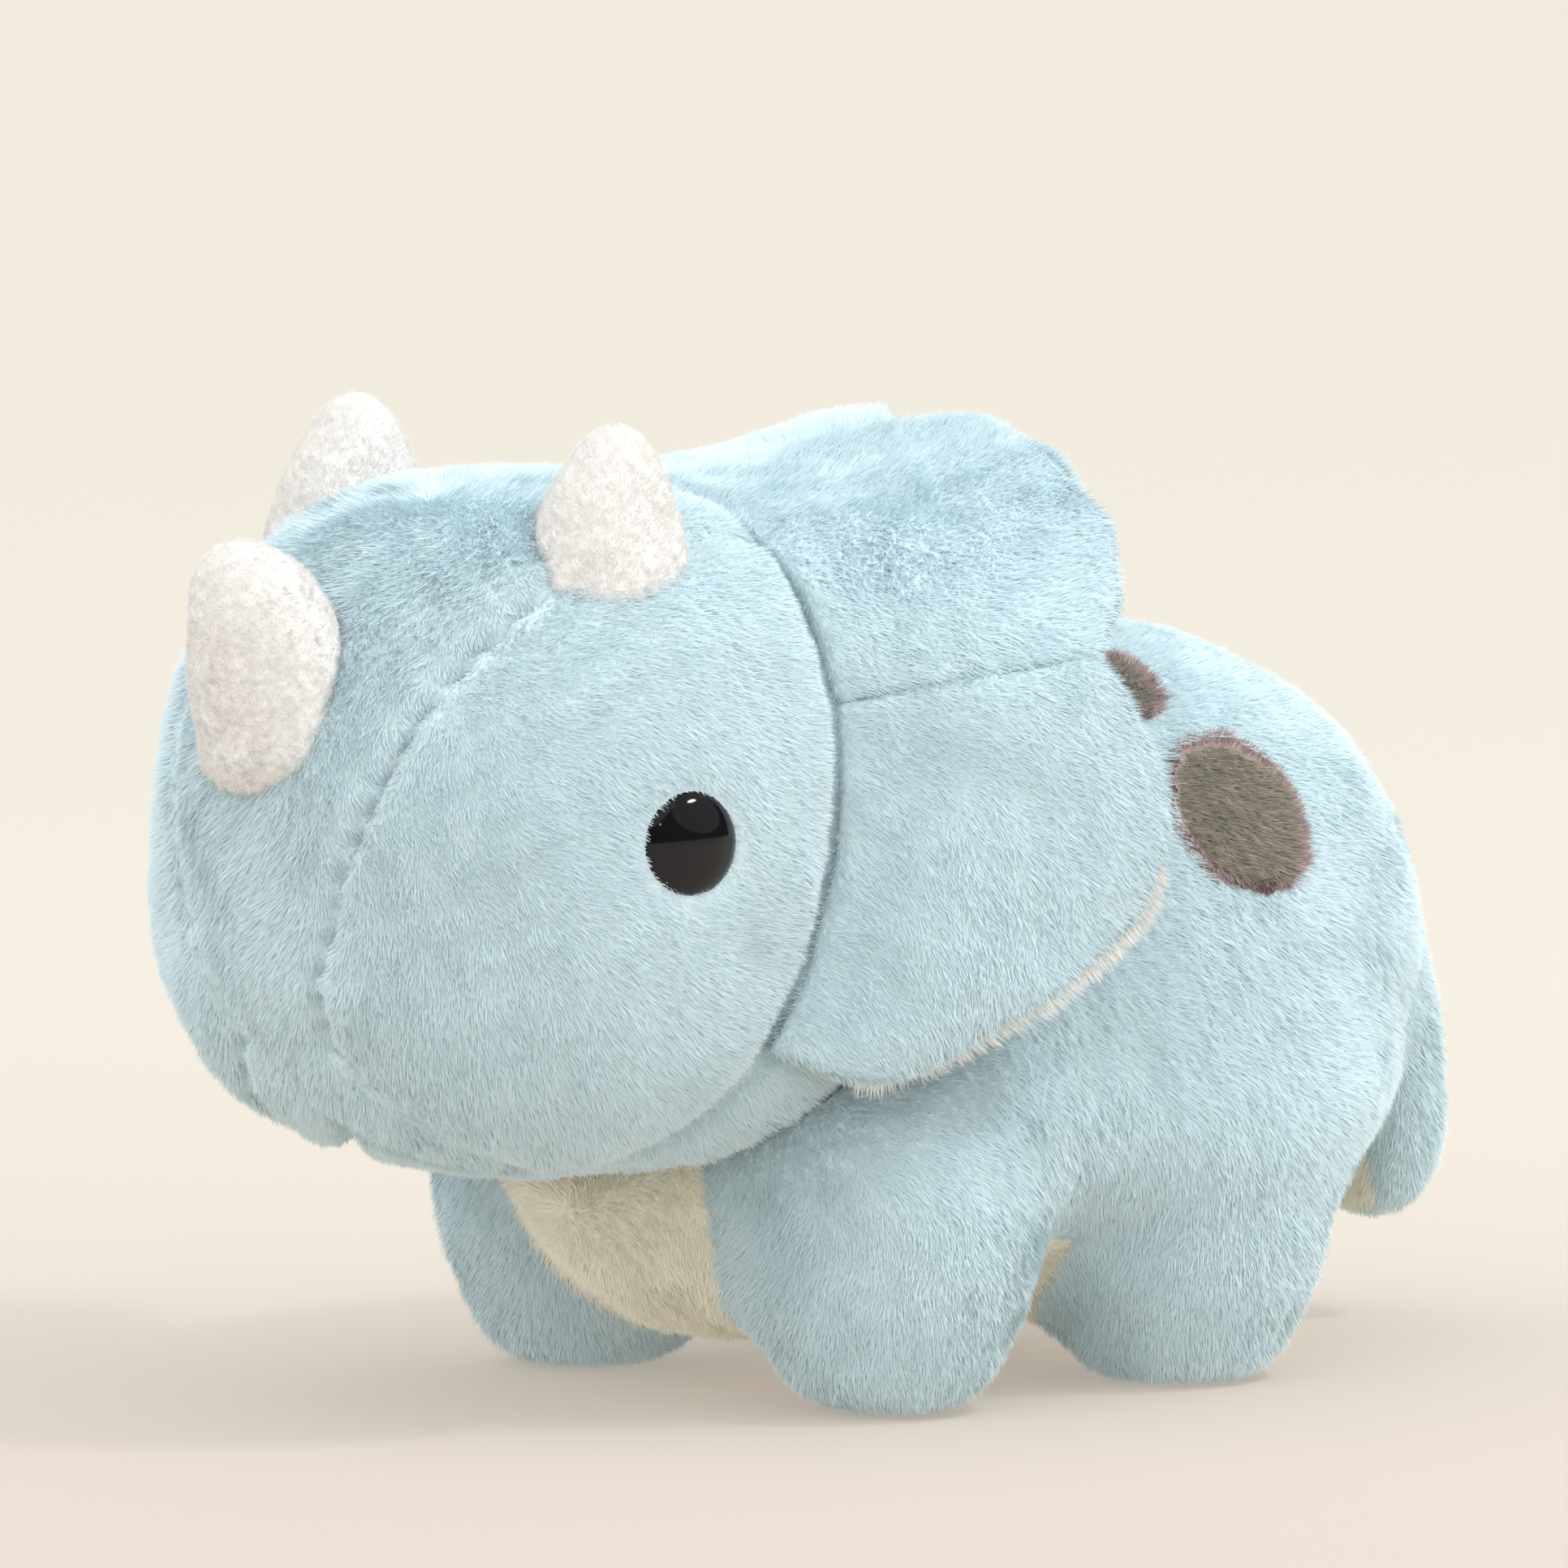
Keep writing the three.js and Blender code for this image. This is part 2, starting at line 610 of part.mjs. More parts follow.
function makeFrill() {
  const split = 0.35; // degrees kept between two petals
  const batting = FRILL_SKIN + FRILL_GAP;
  const lining = batting + FRILL_BATTING + FRILL_GAP;
  const head = headForm(-GAP).intersect(block([-200, -200, -200], [200, 0, 200]));
  const parts = [
    ["upper_left", split, FRILL_SIDE_SEAM - split],
    ["lower_left", FRILL_SIDE_SEAM + split, FRILL_END],
    ["upper_right", -FRILL_SIDE_SEAM + split, -split],
    ["lower_right", -FRILL_END, -FRILL_SIDE_SEAM - split],
  ];
  for (const [name, from, to] of parts) {
    const face = petal(from, to, 0, FRILL_SKIN);
    const filling = petal(from, to, batting, batting + FRILL_BATTING);
    const back = petal(from, to, lining, lining + FRILL_SKIN);
    piece(`frill_${name}`, face.subtract(head), blue);
    piece(`frill_batting_${name}`, filling.subtract(head), fill);
    piece(`frill_lining_${name}`, back.subtract(head), cream);
  }
}

// ---- Tail pieces -----------------------------------------------------------------------------

function makeTail() {
  const shell = tailForm(0).subtract(tailForm(SKIN - 0.8));
  const seam = [[60, 50], [82, 50], [89, 43], [95.5, 33], [99.5, 22], [100.5, 8]];
  const front = (shift) =>
    prism([[40, -20], ...seam.map(([y, z]) => [y + shift, z]).reverse(), [40, 50]], "yz", -40, 40);
  piece("tail_top_panel", shell.subtract(front(SEAM / 2)), blue);
  piece("tail_under_panel", shell.intersect(front(-SEAM / 2)), cream);
  piece("tail_stuffing", tailForm(SKIN - 0.8 + GAP), fill);
}

makeTorso();
makeSpots();
piece("neck_stuffing", ball(NECK_PIVOT, NECK_RADIUS), fill);
makeHead();
makeHorns();
makeEye(1, "left");
makeEye(-1, "right");
makeFrill();
legs.forEach(makeLeg);
makeTail();

// The origin is moved to the middle of the toy's length.
const length = new THREE.Box3().setFromObject(toy);
toy.position.y = -(length.min.y + length.max.y) / 2;

export default toy;
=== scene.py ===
"""The looks of a light-blue plush baby dinosaur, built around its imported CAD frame.

Metres, +Z up. The toy faces -Y and its left side is +X. Each sewn skin is a closed shell that has
been puffed out by a short cloth simulation, and carries a pile of single tapered fibres.
"""

import json
import math

import bmesh
import bpy
import numpy as np
from mathutils import Matrix, Vector

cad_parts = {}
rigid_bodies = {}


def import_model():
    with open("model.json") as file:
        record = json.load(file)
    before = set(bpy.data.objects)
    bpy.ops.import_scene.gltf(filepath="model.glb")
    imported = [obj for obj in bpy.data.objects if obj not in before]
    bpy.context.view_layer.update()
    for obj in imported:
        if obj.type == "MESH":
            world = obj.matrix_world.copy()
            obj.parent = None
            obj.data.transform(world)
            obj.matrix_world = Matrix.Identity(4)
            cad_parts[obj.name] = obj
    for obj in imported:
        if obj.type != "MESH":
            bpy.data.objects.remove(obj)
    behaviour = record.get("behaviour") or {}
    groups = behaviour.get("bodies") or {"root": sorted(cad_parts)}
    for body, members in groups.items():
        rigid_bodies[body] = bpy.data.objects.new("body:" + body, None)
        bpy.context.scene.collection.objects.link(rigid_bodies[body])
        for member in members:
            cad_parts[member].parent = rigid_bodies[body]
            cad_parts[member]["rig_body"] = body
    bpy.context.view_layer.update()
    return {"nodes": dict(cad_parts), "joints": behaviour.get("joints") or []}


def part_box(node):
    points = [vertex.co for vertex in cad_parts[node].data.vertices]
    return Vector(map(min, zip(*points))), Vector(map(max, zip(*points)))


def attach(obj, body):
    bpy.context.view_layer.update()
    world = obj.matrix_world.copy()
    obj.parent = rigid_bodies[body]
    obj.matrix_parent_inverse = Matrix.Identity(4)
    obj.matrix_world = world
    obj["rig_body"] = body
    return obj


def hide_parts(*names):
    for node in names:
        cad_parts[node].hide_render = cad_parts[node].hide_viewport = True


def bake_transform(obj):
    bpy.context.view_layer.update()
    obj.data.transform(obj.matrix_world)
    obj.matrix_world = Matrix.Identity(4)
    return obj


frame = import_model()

MM = 0.001
SIDES = {"left": 1, "right": -1}
random = np.random.default_rng(11)

# ---- Places, from the frame ----


def box_of(*nodes):
    boxes = [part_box(node) for node in nodes]
    low = Vector([min(box[0][axis] for box in boxes) for axis in range(3)])
    high = Vector([max(box[1][axis] for box in boxes) for axis in range(3)])
    return low, high


head_low, head_high = box_of("head_left_panel", "head_right_panel", "head_gusset", "chin_panel")
torso_low, torso_high = box_of("torso_left_panel", "torso_right_panel", "belly_panel")
neck_low, neck_high = box_of("neck_stuffing")
NECK = (neck_low + neck_high) / 2
NECK_TILT = math.radians(25)
NECK_AXIS = np.array((0, -math.cos(NECK_TILT), math.sin(NECK_TILT)))  # the way that the neck looks
HEAD_RISE = 47.5 * MM  # centre to crown
HEAD_DROP = head_high.z - head_low.z - HEAD_RISE
HEAD_LENGTH = 49 * MM  # centre to snout
HEAD_WIDTH = head_high.x
HEAD = Vector((0, head_low.y + HEAD_LENGTH, head_high.z - HEAD_RISE))
TORSO_SEMI = np.array((torso_high.x, 62.5 * MM, 47.5 * MM))
TORSO = Vector((0, torso_high.y - TORSO_SEMI[1], torso_high.z - TORSO_SEMI[2]))
TORSO_FORM = (TORSO, TORSO_SEMI, 2.15)  # middle, half sizes, and how boxy it is: 2 is an ellipsoid
CHEST_SEMI = np.array((27, 40, 22)) * MM
CHEST = Vector((0, torso_low.y + CHEST_SEMI[1], torso_low.z + CHEST_SEMI[2]))
CHEST_FORM = (CHEST, CHEST_SEMI, 2.0)
JOINTS = {joint["name"]: Vector(joint["pos_m"]) for joint in frame["joints"] if "pos_m" in joint}
TAIL_AT = JOINTS["tail_lift"]

PILE_ROOM = 0.3 * MM  # the skin lies this far inside the CAD skin, and the pile fills it
SEAM_DEPTH = 1.5 * MM
SEAM_REACH = 1.7 * MM
CLOTH_THICK = 1.2 * MM
CLOTH_FRAMES = 16
CLOTH = {
    "quality": 4, "mass": 0.2, "tension_stiffness": 12, "compression_stiffness": 12,
    "shear_stiffness": 4, "bending_stiffness": 0.3, "use_pressure": True, "vertex_group_mass": "seams",
}

# The gusset runs over the head between two planes, and the chin panel between two more.
GUSSET_HALF = 9 * MM
GUSSET_FOOT = 53 * MM
GUSSET_SPREAD = 0.34
CHIN_SPREAD = 0.73

# ---- Arrays and meshes ----


def unit(vectors):
    return vectors / np.maximum(np.linalg.norm(vectors, axis=-1, keepdims=True), 1e-12)


def smoothstep(value, low, high):
    t = np.clip((value - low) / (high - low), 0, 1)
    return t * t * (3 - 2 * t)


def wave_noise(points, size, seed, waves=9):
    """Smooth noise from about -1 to 1: a few plane waves of random direction, size apart."""
    source = np.random.default_rng(seed)
    directions = unit(source.normal(size=(waves, 3)))
    rates = directions * (2 * math.pi / size) * source.uniform(0.6, 1.4, (waves, 1))
    phases = source.uniform(0, 2 * math.pi, waves)
    return np.sin(points @ rates.T + phases).sum(axis=1) / math.sqrt(waves / 2) * 0.7


def add_object(name, data):
    piece = bpy.data.objects.new(name, data)
    bpy.context.scene.collection.objects.link(piece)
    return piece


def from_bmesh(name, bm):
    mesh = bpy.data.meshes.new(name)
    bm.to_mesh(mesh)
    bm.free()
    return add_object(name, mesh)


def shade_smooth(mesh):
    mesh.polygons.foreach_set("use_smooth", np.ones(len(mesh.polygons), bool))


def gap_to(centre, points):
    return np.linalg.norm(points - np.array(centre), axis=1)


def read(items, key, width=3, kind=float):
    values = np.empty(len(items) * width, kind)
    items.foreach_get(key, values)
    return values.reshape(-1, width)


def coords(piece):
    return read(piece.data.vertices, "co")


def set_coords(piece, co):
    piece.data.vertices.foreach_set("co", np.ascontiguousarray(co, np.float32).ravel())
    piece.data.update()


def normals(piece):
    return read(piece.data.vertices, "normal")


def mesh_piece(name, points, faces, smooth=True):
    """A piece from arrays of points and of faces that all have the same number of corners."""
    mesh = bpy.data.meshes.new(name)
    corners = faces.shape[1]
    mesh.vertices.add(len(points))
    mesh.vertices.foreach_set("co", np.ascontiguousarray(points, np.float32).ravel())
    mesh.loops.add(faces.size)
    mesh.loops.foreach_set("vertex_index", np.ascontiguousarray(faces, np.int32).ravel())
    mesh.polygons.add(len(faces))
    mesh.polygons.foreach_set("loop_start", np.arange(0, faces.size, corners, dtype=np.int32))
    if smooth:
        shade_smooth(mesh)
    mesh.update(calc_edges=True)
    return add_object(name, mesh)


def grid_faces(rows, columns, closed):
    """Quads between the rows of a grid of points, whose columns may close round."""
    across = columns if closed else columns - 1
    row, column = np.meshgrid(np.arange(rows - 1), np.arange(across), indexing="ij")
    after = (column + 1) % columns
    quads = [row * columns + column, row * columns + after]
    quads += [(row + 1) * columns + after, (row + 1) * columns + column]
    return np.stack([quad.ravel() for quad in quads], axis=1)


def turned(name, outline, around):
    """A closed solid turned about +Z from (radius, height) pairs that start and end on the axis."""
    angles = np.arange(around) * 2 * math.pi / around
    ring = np.stack([np.cos(angles), np.sin(angles)], axis=1)
    bm = bmesh.new()
    rows = []
    for radius, height in outline:
        if radius < 1e-7:
            rows.append([bm.verts.new((0, 0, height))] * around)
        else:
            rows.append([bm.verts.new((x * radius, y * radius, height)) for x, y in ring])
    for lower, upper in zip(rows, rows[1:]):
        for i in range(around):
            j = (i + 1) % around
            corners = [lower[i], lower[j], upper[j], upper[i]]
            bm.faces.new(list(dict.fromkeys(corners)))
    piece = from_bmesh(name, bm)
    shade_smooth(piece.data)
    return piece


def stand(piece, foot, along):
    """Puts a piece made along +Z on a foot, pointing along a direction."""
    turn = Vector((0, 0, 1)).rotation_difference(Vector(along).normalized())
    piece.data.transform(Matrix.Translation(foot) @ turn.to_matrix().to_4x4())
    return piece


def ball(name, centre, reach, level):
    """A fine ball whose points are put at the distances that reach(directions) gives."""
    bm = bmesh.new()
    bmesh.ops.create_icosphere(bm, subdivisions=level, radius=1)
    piece = from_bmesh(name, bm)
    directions = unit(coords(piece))
    set_coords(piece, np.array(centre) + directions * reach(directions)[:, None])
    return piece


def rounded(name, centre, semi, power, inset, level):
    """A rounded form, set in from its full size."""
    return ball(name, centre, lambda directions: super_reach(directions, semi, power) - inset, level)


def modified(piece, kind, **settings):
    """A piece whose mesh has had one modifier applied."""
    modifier = piece.modifiers.new(kind.lower(), kind)
    for key, value in settings.items():
        setattr(modifier, key, value)
    bpy.context.view_layer.update()
    shaped = piece.evaluated_get(bpy.context.evaluated_depsgraph_get())
    mesh = bpy.data.meshes.new_from_object(shaped)
    piece.modifiers.clear()
    old = piece.data
    piece.data = mesh
    bpy.data.meshes.remove(old)
    shade_smooth(mesh)
    return piece


def joined(name, pieces):
    bm = bmesh.new()
    for piece in pieces:
        bm.from_mesh(piece.data)
        bpy.data.objects.remove(piece)
    return from_bmesh(name, bm)


def remesh(piece, size):
    return modified(piece, "REMESH", mode="VOXEL", voxel_size=size)


def relax(piece, times):
    return modified(piece, "SMOOTH", iterations=times, factor=0.5)


def subdivide(piece):
    return modified(piece, "SUBSURF", levels=2, render_levels=2)


def lumpy(piece, depth, size, seed):
    """A piece pushed in and out along its normals, by depth, over patches of that size."""
    co = coords(piece)
    set_coords(piece, co + normals(piece) * (depth * wave_noise(co, size, seed))[:, None])
    return piece


def inflate(piece, seam_distance, cap, pressure=4.0, hold=2.5 * MM):
    """Puffs a closed form out with cloth pressure. The sewn seams hold it, and cap limits it."""
    rest = coords(piece)
    pins = piece.vertex_groups.new(name="seams")
    for index in np.flatnonzero(seam_distance < hold):
        pins.add([int(index)], 1.0, "REPLACE")
    cloth = piece.modifiers.new("cloth", "CLOTH")
    for key, value in CLOTH.items():
        setattr(cloth.settings, key, value)
    cloth.settings.uniform_pressure_force = pressure
    cloth.settings.effector_weights.gravity = 0
    cloth.collision_settings.use_collision = False
    cloth.point_cache.frame_start = 1
    cloth.point_cache.frame_end = CLOTH_FRAMES
    for number in range(1, CLOTH_FRAMES + 1):
        bpy.context.scene.frame_set(number)
    shaped = piece.evaluated_get(bpy.context.evaluated_depsgraph_get())
    move = coords(shaped) - rest
    far = np.linalg.norm(move, axis=1, keepdims=True)
    move *= np.minimum(1, cap / np.maximum(far, 1e-9))
    piece.modifiers.remove(cloth)
    piece.vertex_groups.clear()
    bpy.context.scene.frame_set(1)
    set_coords(piece, rest + move)
    return piece


class Surface:
    """A form's fine surface, from which its panels and their pile are taken."""

    def __init__(self, piece):
        self.points = coords(piece)
        self.normals = normals(piece)
        piece.data.calc_loop_triangles()
        self.faces = read(piece.data.loop_triangles, "vertices", kind=np.int32)
        self.middles = self.points[self.faces].mean(axis=1)
        bpy.data.objects.remove(piece)

    def shell(self, name, keep):
        """A closed shell of the chosen faces, one cloth thick inwards from the surface."""
        faces = self.faces[keep]
        used, compact = np.unique(faces, return_inverse=True)
        faces = compact.reshape(-1, 3)
        outer = self.points[used]
        inner = outer - self.normals[used] * CLOTH_THICK
        count = len(used)
        edges = np.concatenate([faces[:, [0, 1]], faces[:, [1, 2]], faces[:, [2, 0]]])
        code = edges[:, 0].astype(np.int64) * count + edges[:, 1]
        back = edges[:, 1].astype(np.int64) * count + edges[:, 0]
        rim = edges[~np.isin(code, back)]
        wall_a = np.stack([rim[:, 1], rim[:, 0], rim[:, 0] + count], axis=1)
        wall_b = np.stack([rim[:, 1], rim[:, 0] + count, rim[:, 1] + count], axis=1)
        every = np.concatenate([faces, faces[:, ::-1] + count, wall_a, wall_b])
        return mesh_piece(name, np.concatenate([outer, inner]), every)


# ---- Materials ----

PLUSH = {  # each slot's colour, and how bright the shades of its fibres are, dark to light
    "blue_plush": ((0.70, 0.845, 0.895), (0.945, 0.985, 1.0, 1.02)),
    "white_plush": ((0.91, 0.905, 0.89), (0.97, 0.99, 1.0, 1.02)),
    "cream_plush": ((0.97, 0.95, 0.83), (0.86, 0.95, 1.0, 1.06)),
    "grey_plush": ((0.30, 0.275, 0.215), (0.6, 0.85, 1.1, 1.5)),
    "mauve_thread": ((0.40, 0.30, 0.29), (0.6, 0.9, 1.2, 1.6)),
}


def set_inputs(node, values):
    for key, value in values.items():
        node.inputs[key].default_value = value
    return node


def surface_material(name, values):
    """A material and its shader, with those inputs set."""
    material = bpy.data.materials.new(name)
    material.use_nodes = True
    return material, set_inputs(material.node_tree.nodes["Principled BSDF"], values)


def add_node(owner, kind, **values):
    """A new shader node. An input's name has _ for each space here."""
    node = owner.node_tree.nodes.new(f"ShaderNode{kind}")
    return set_inputs(node, {key.replace("_", " "): value for key, value in values.items()})


def wire(owner, *links):
    """Joins outputs to inputs, each given as a node, its output, a node and its input."""
    for source, output, target, entry in links:
        owner.node_tree.links.new(source.outputs[output], target.inputs[entry])


def noise_node(owner, **values):
    """A noise texture that stays with the piece."""
    texture = add_node(owner, "TexNoise", **values)
    wire(owner, (add_node(owner, "TexCoord"), "Object", texture, "Vector"))
    return texture


def colour_by(owner, source, shader, dark, light, positions=(0, 1)):
    """Colours a material from dark to light by a node's first output."""
    ramp = add_node(owner, "ValToRGB")
    for index, colour in enumerate((dark, light)):
        ramp.color_ramp.elements[index].position = positions[index]
        ramp.color_ramp.elements[index].color = [*colour, 1]
    wire(owner, (source, 0, ramp, "Fac"), (ramp, "Color", shader, "Base Color"))
    return ramp


def raise_by(owner, source, shader, strength, distance):
    """Bumps a material by a noise."""
    bump = add_node(owner, "Bump", Strength=strength, Distance=distance)
    wire(owner, (source, "Fac", bump, "Height"), (bump, "Normal", shader, "Normal"))


def plush_material(name, colour):
    """Backing cloth with short nap: streaks, faint cloudy patches and a fine bump."""
    material, shader = surface_material(name, {"Roughness": 0.92, "Sheen Weight": 0.25})
    nap = noise_node(material, Scale=900, Detail=6, Distortion=1.2)
    clouds = noise_node(material, Scale=60, Detail=3)
    mix = add_node(material, "Math")
    mix.operation = "MULTIPLY_ADD"
    mix.inputs[1].default_value = 0.35
    wire(material, (clouds, "Fac", mix, 0), (nap, "Fac", mix, 2))
    dark, light = [part * 0.72 for part in colour], [min(1, part * 1.06) for part in colour]
    colour_by(material, mix, shader, dark, light, (0.3, 0.95))
    raise_by(material, nap, shader, 0.25, 0.6 * MM)
    return material


def pile_shades(name, colour, spread):
    """The few shades that the fibres of one pile have, dark to light."""
    shades = []
    for number, factor in enumerate(spread):
        shade = [*(min(0.97, part * factor) for part in colour), 1]
        values = {"Roughness": 0.75, "Base Color": shade, "Sheen Weight": 0.3}
        shades.append(surface_material(f"{name}_fibre_{number}", values)[0])
    return shades


SKINS, FIBRES = {}, {}
for slot, (colour, spread) in PLUSH.items():
    hue = slot.split("_")[0]
    SKINS[slot] = plush_material(f"{hue}_backing", colour)
    FIBRES[slot] = pile_shades(hue, colour, spread)


def stuffing_material():
    material, shader = surface_material("polyester_fibre", {"Roughness": 0.95})
    fibres = noise_node(material, Scale=400, Detail=8, Distortion=3)
    colour_by(material, fibres, shader, (0.72, 0.72, 0.70), (0.95, 0.95, 0.93))
    raise_by(material, fibres, shader, 0.6, 2 * MM)
    return material


def eye_material():
    """Black moulded plastic with a hard gloss, a little uneven where it has been handled."""
    material, shader = surface_material("glossy_eye", {
        "Roughness": 0.06, "Base Color": (0.006, 0.006, 0.008, 1), "Specular IOR Level": 0.38})
    handled = noise_node(material, Scale=350, Detail=4)
    gloss = add_node(material, "MapRange", To_Min=0.04, To_Max=0.11)
    wire(material, (handled, "Fac", gloss, "Value"), (gloss, "Result", shader, "Roughness"))
    return material


def washer_material():
    material, shader = surface_material("washer_plastic", {"Roughness": 0.45})
    colour_by(material, noise_node(material, Scale=900), shader, (0.74, 0.74, 0.72), (0.84, 0.84, 0.82))
    return material


STUFFING = stuffing_material()
EYE = eye_material()
WASHER = washer_material()

# ---- Pile ----

DENSITY = 9.5 / MM**2  # fibres to the square metre
FIBRE_WIDTH = 0.24 * MM


def pile(name, surface, keep, slot, flow, length=1.8 * MM, lift=40, trim=None, density=1.0,
         swirl=20, width=1.0):
    """The pile on the chosen faces of a surface: single tapered fibres, in one piece.

    flow(points) gives the way that the nap is brushed, lift is how far the fibres stand up, in
    degrees, and trim(points) is how much of their length is left, from 0 to 1.
    """
    faces = surface.faces[keep]
    corners = surface.points[faces]
    areas = np.linalg.norm(np.cross(corners[:, 1] - corners[:, 0], corners[:, 2] - corners[:, 0]), axis=1) / 2
    total = areas.sum()
    count = int(total * DENSITY * density)
    picks = (np.arange(count) + random.random(count)) / count * total
    chosen = np.searchsorted(np.cumsum(areas), picks).clip(0, len(faces) - 1)
    a, b = random.random((2, count))
    over = a + b > 1
    a[over], b[over] = 1 - a[over], 1 - b[over]
    weights = np.stack([1 - a - b, a, b], axis=1)[..., None]
    roots = (corners[chosen] * weights).sum(axis=1)
    out = unit((surface.normals[faces[chosen]] * weights).sum(axis=1))

    lay = flow(roots)
    lay = unit(lay - out * (lay * out).sum(axis=1, keepdims=True))
    across = np.cross(out, lay)
    turn = np.radians(swirl * wave_noise(roots, 30 * MM, 3) + 0.6 * swirl * wave_noise(roots, 9 * MM, 5)
                      + random.normal(0, 9, count))[:, None]
    lay = lay * np.cos(turn) + across * np.sin(turn)
    across = np.cross(out, lay)
    rise = np.radians(lift + 5 * wave_noise(roots, 6 * MM, 8) + random.normal(0, 6, count))[:, None]
    long = length * (1 + 0.12 * wave_noise(roots, 4 * MM, 9) + random.normal(0, 0.08, count))
    if trim is not None:
        long = long * trim(roots)
    tips = roots + long[:, None] * (lay * np.cos(rise) + out * np.sin(rise))
    clump = np.stack([wave_noise(roots, 1.9 * MM, 20 + axis) for axis in range(3)], axis=1)
    tips += clump * 0.18 * MM
    roots = roots - out * 0.15 * MM
    twist = random.normal(0, 0.35, count)[:, None]
    half = (across * np.cos(twist) + out * np.sin(twist)) * FIBRE_WIDTH * width / 2
    points = np.stack([roots - half, roots + half, tips], axis=1).reshape(-1, 3)
    points[:, 2] = np.maximum(points[:, 2], 0.05 * MM)
    piece = mesh_piece(name, points, np.arange(count * 3).reshape(-1, 3), smooth=False)
    value = 0.55 * wave_noise(roots, 1.4 * MM, 31) + 0.5 * random.normal(0, 1, count)
    piece.data.polygons.foreach_set("material_index", np.digitize(value, (-0.9, -0.1, 0.8)).astype(np.int32))
    for material in FIBRES[slot]:
        piece.data.materials.append(material)
    return piece


def skin(name, surface, keep, slot, *nodes, fill=0.8):
    """A sewn panel of a stuffed form, which stands for its CAD nodes."""
    piece = surface.shell(name, keep)
    piece.data.materials.append(SKINS[slot])
    if nodes:
        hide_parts(*nodes)
    return piece


def panel(name, surface, keep, slot, flow, *nodes, fill=0.8, **how):
    """A sewn panel, which stands for its CAD nodes: its cloth, and the pile on it."""
    cloth = skin(f"{name}_cloth", surface, keep, slot, *nodes, fill=fill)
    return [cloth, pile(f"{name}_pile", surface, keep, slot, flow, **how)]


def seamed(distance):
    """How much of the pile's length is left near a seam."""
    return 0.35 + 0.65 * smoothstep(distance, 0.4 * MM, 2.6 * MM)


# ---- Head ----


def super_reach(directions, semi, power):
    """How far out a rounded form reaches, with one power for all directions or one for each."""
    shares = np.abs(directions / semi) ** (power if np.ndim(power) == 0 else power[:, None])
    return shares.sum(axis=1) ** (-1 / power)


SNOUT_POWER = 2.1
JAW_POWER = 0.6  # added under the snout
FRILL_POWER = 3.0  # where the frill is sewn on


def head_reach(directions):
    """Round at the snout, fuller at the jaw and boxy where the frill is sewn on."""
    back = smoothstep(directions[:, 1], -0.75, 0.25)
    jaw = smoothstep(-directions[:, 2], 0, 0.7)
    front = SNOUT_POWER + JAW_POWER * jaw
    power = front + (FRILL_POWER - front) * back
    drop = np.where(directions[:, 2] < 0, HEAD_DROP, HEAD_RISE)
    semi = np.stack([np.full_like(drop, HEAD_WIDTH), np.full_like(drop, HEAD_LENGTH), drop], axis=1)
    return super_reach(directions, semi, power) - PILE_ROOM


def gusset_offset(points):
    """How far outside the gusset a point is, negative within it."""
    height = points[:, 2] - GUSSET_FOOT
    slope = np.where(height > 0, GUSSET_SPREAD, -CHIN_SPREAD)
    return (np.abs(points[:, 0]) - GUSSET_HALF - slope * height) / np.sqrt(1 + slope**2)


FRILL_RING = HEAD.y + 17.5 * MM
FRILL_END = 122  # degrees round from the top
FRILL_LOW = 75  # degrees round: from here on the sewn edge runs forward
FRILL_FORWARD = 10 * MM


def frill_forward(degrees):
    """How far forward of the ring the frill is sewn on."""
    low = np.clip((degrees - FRILL_LOW) / (FRILL_END - FRILL_LOW), 0, None)
    return FRILL_FORWARD * low**2


def frill_seam_offset(points):
    """How far behind the frill's sewn edge a point of the head is."""
    around = np.degrees(np.arctan2(np.abs(points[:, 0]), points[:, 2] - HEAD.z))
    return points[:, 1] - (FRILL_RING - frill_forward(around))


def neck_angle(points):
    """The angle from the way the neck looks, in degrees."""
    return np.degrees(np.arccos(np.clip(unit(points - np.array(NECK)) @ NECK_AXIS, -1, 1)))


EYES = {side: HEAD + Vector((sign * 45.2, -8.5, 2.5)) * MM for side, sign in SIDES.items()}
EYE_FACING = Vector((0.985, -0.17, 0.0))
EYE_RADIUS = 7.5  # mm


def sculpt_head(piece):
    """Seams pulled in with small puckers, a slim snout, and a hollow round each eye."""
    co = coords(piece)
    out = normals(piece)
    side = np.abs(gusset_offset(co))
    pucker = 0.35 * np.sin(co[:, 2] * 2 * math.pi / (4.5 * MM)) + 0.3 * wave_noise(co, 7 * MM, 41)
    pull = SEAM_DEPTH * (1 + pucker) * np.exp(-((side / SEAM_REACH) ** 2))
    above = smoothstep(co[:, 2], GUSSET_FOOT - 20 * MM, GUSSET_FOOT)
    pull *= 0.12 + 0.88 * above
    pull += 2.2 * MM * np.exp(-((frill_seam_offset(co) / (3 * MM)) ** 2))
    for centre in EYES.values():
        pull += 0.8 * MM * np.exp(-((gap_to(centre, co) / (8.5 * MM)) ** 2))
    pull += 0.35 * MM * wave_noise(co, 22 * MM, 42)
    way = unit(co - np.array(HEAD))
    under_snout = smoothstep(-way[:, 1], 0.25, 0.6) * smoothstep(-way[:, 2], 0.3, 0.55)
    pull += 1.8 * MM * under_snout + 0.9 * MM * smoothstep(-way[:, 1], 0.55, 0.9)
    set_coords(piece, co - out * pull[:, None])
    return piece


def head_flow(points):
    """Down the gusset, and back and down over the cheeks."""
    offset = gusset_offset(points)
    side = smoothstep(offset, -6 * MM, 6 * MM)[:, None]
    down = np.array((0, 0.25, -1.0))
    back = np.array((0, 0.75, -0.75))
    return down * (1 - side) + back * side


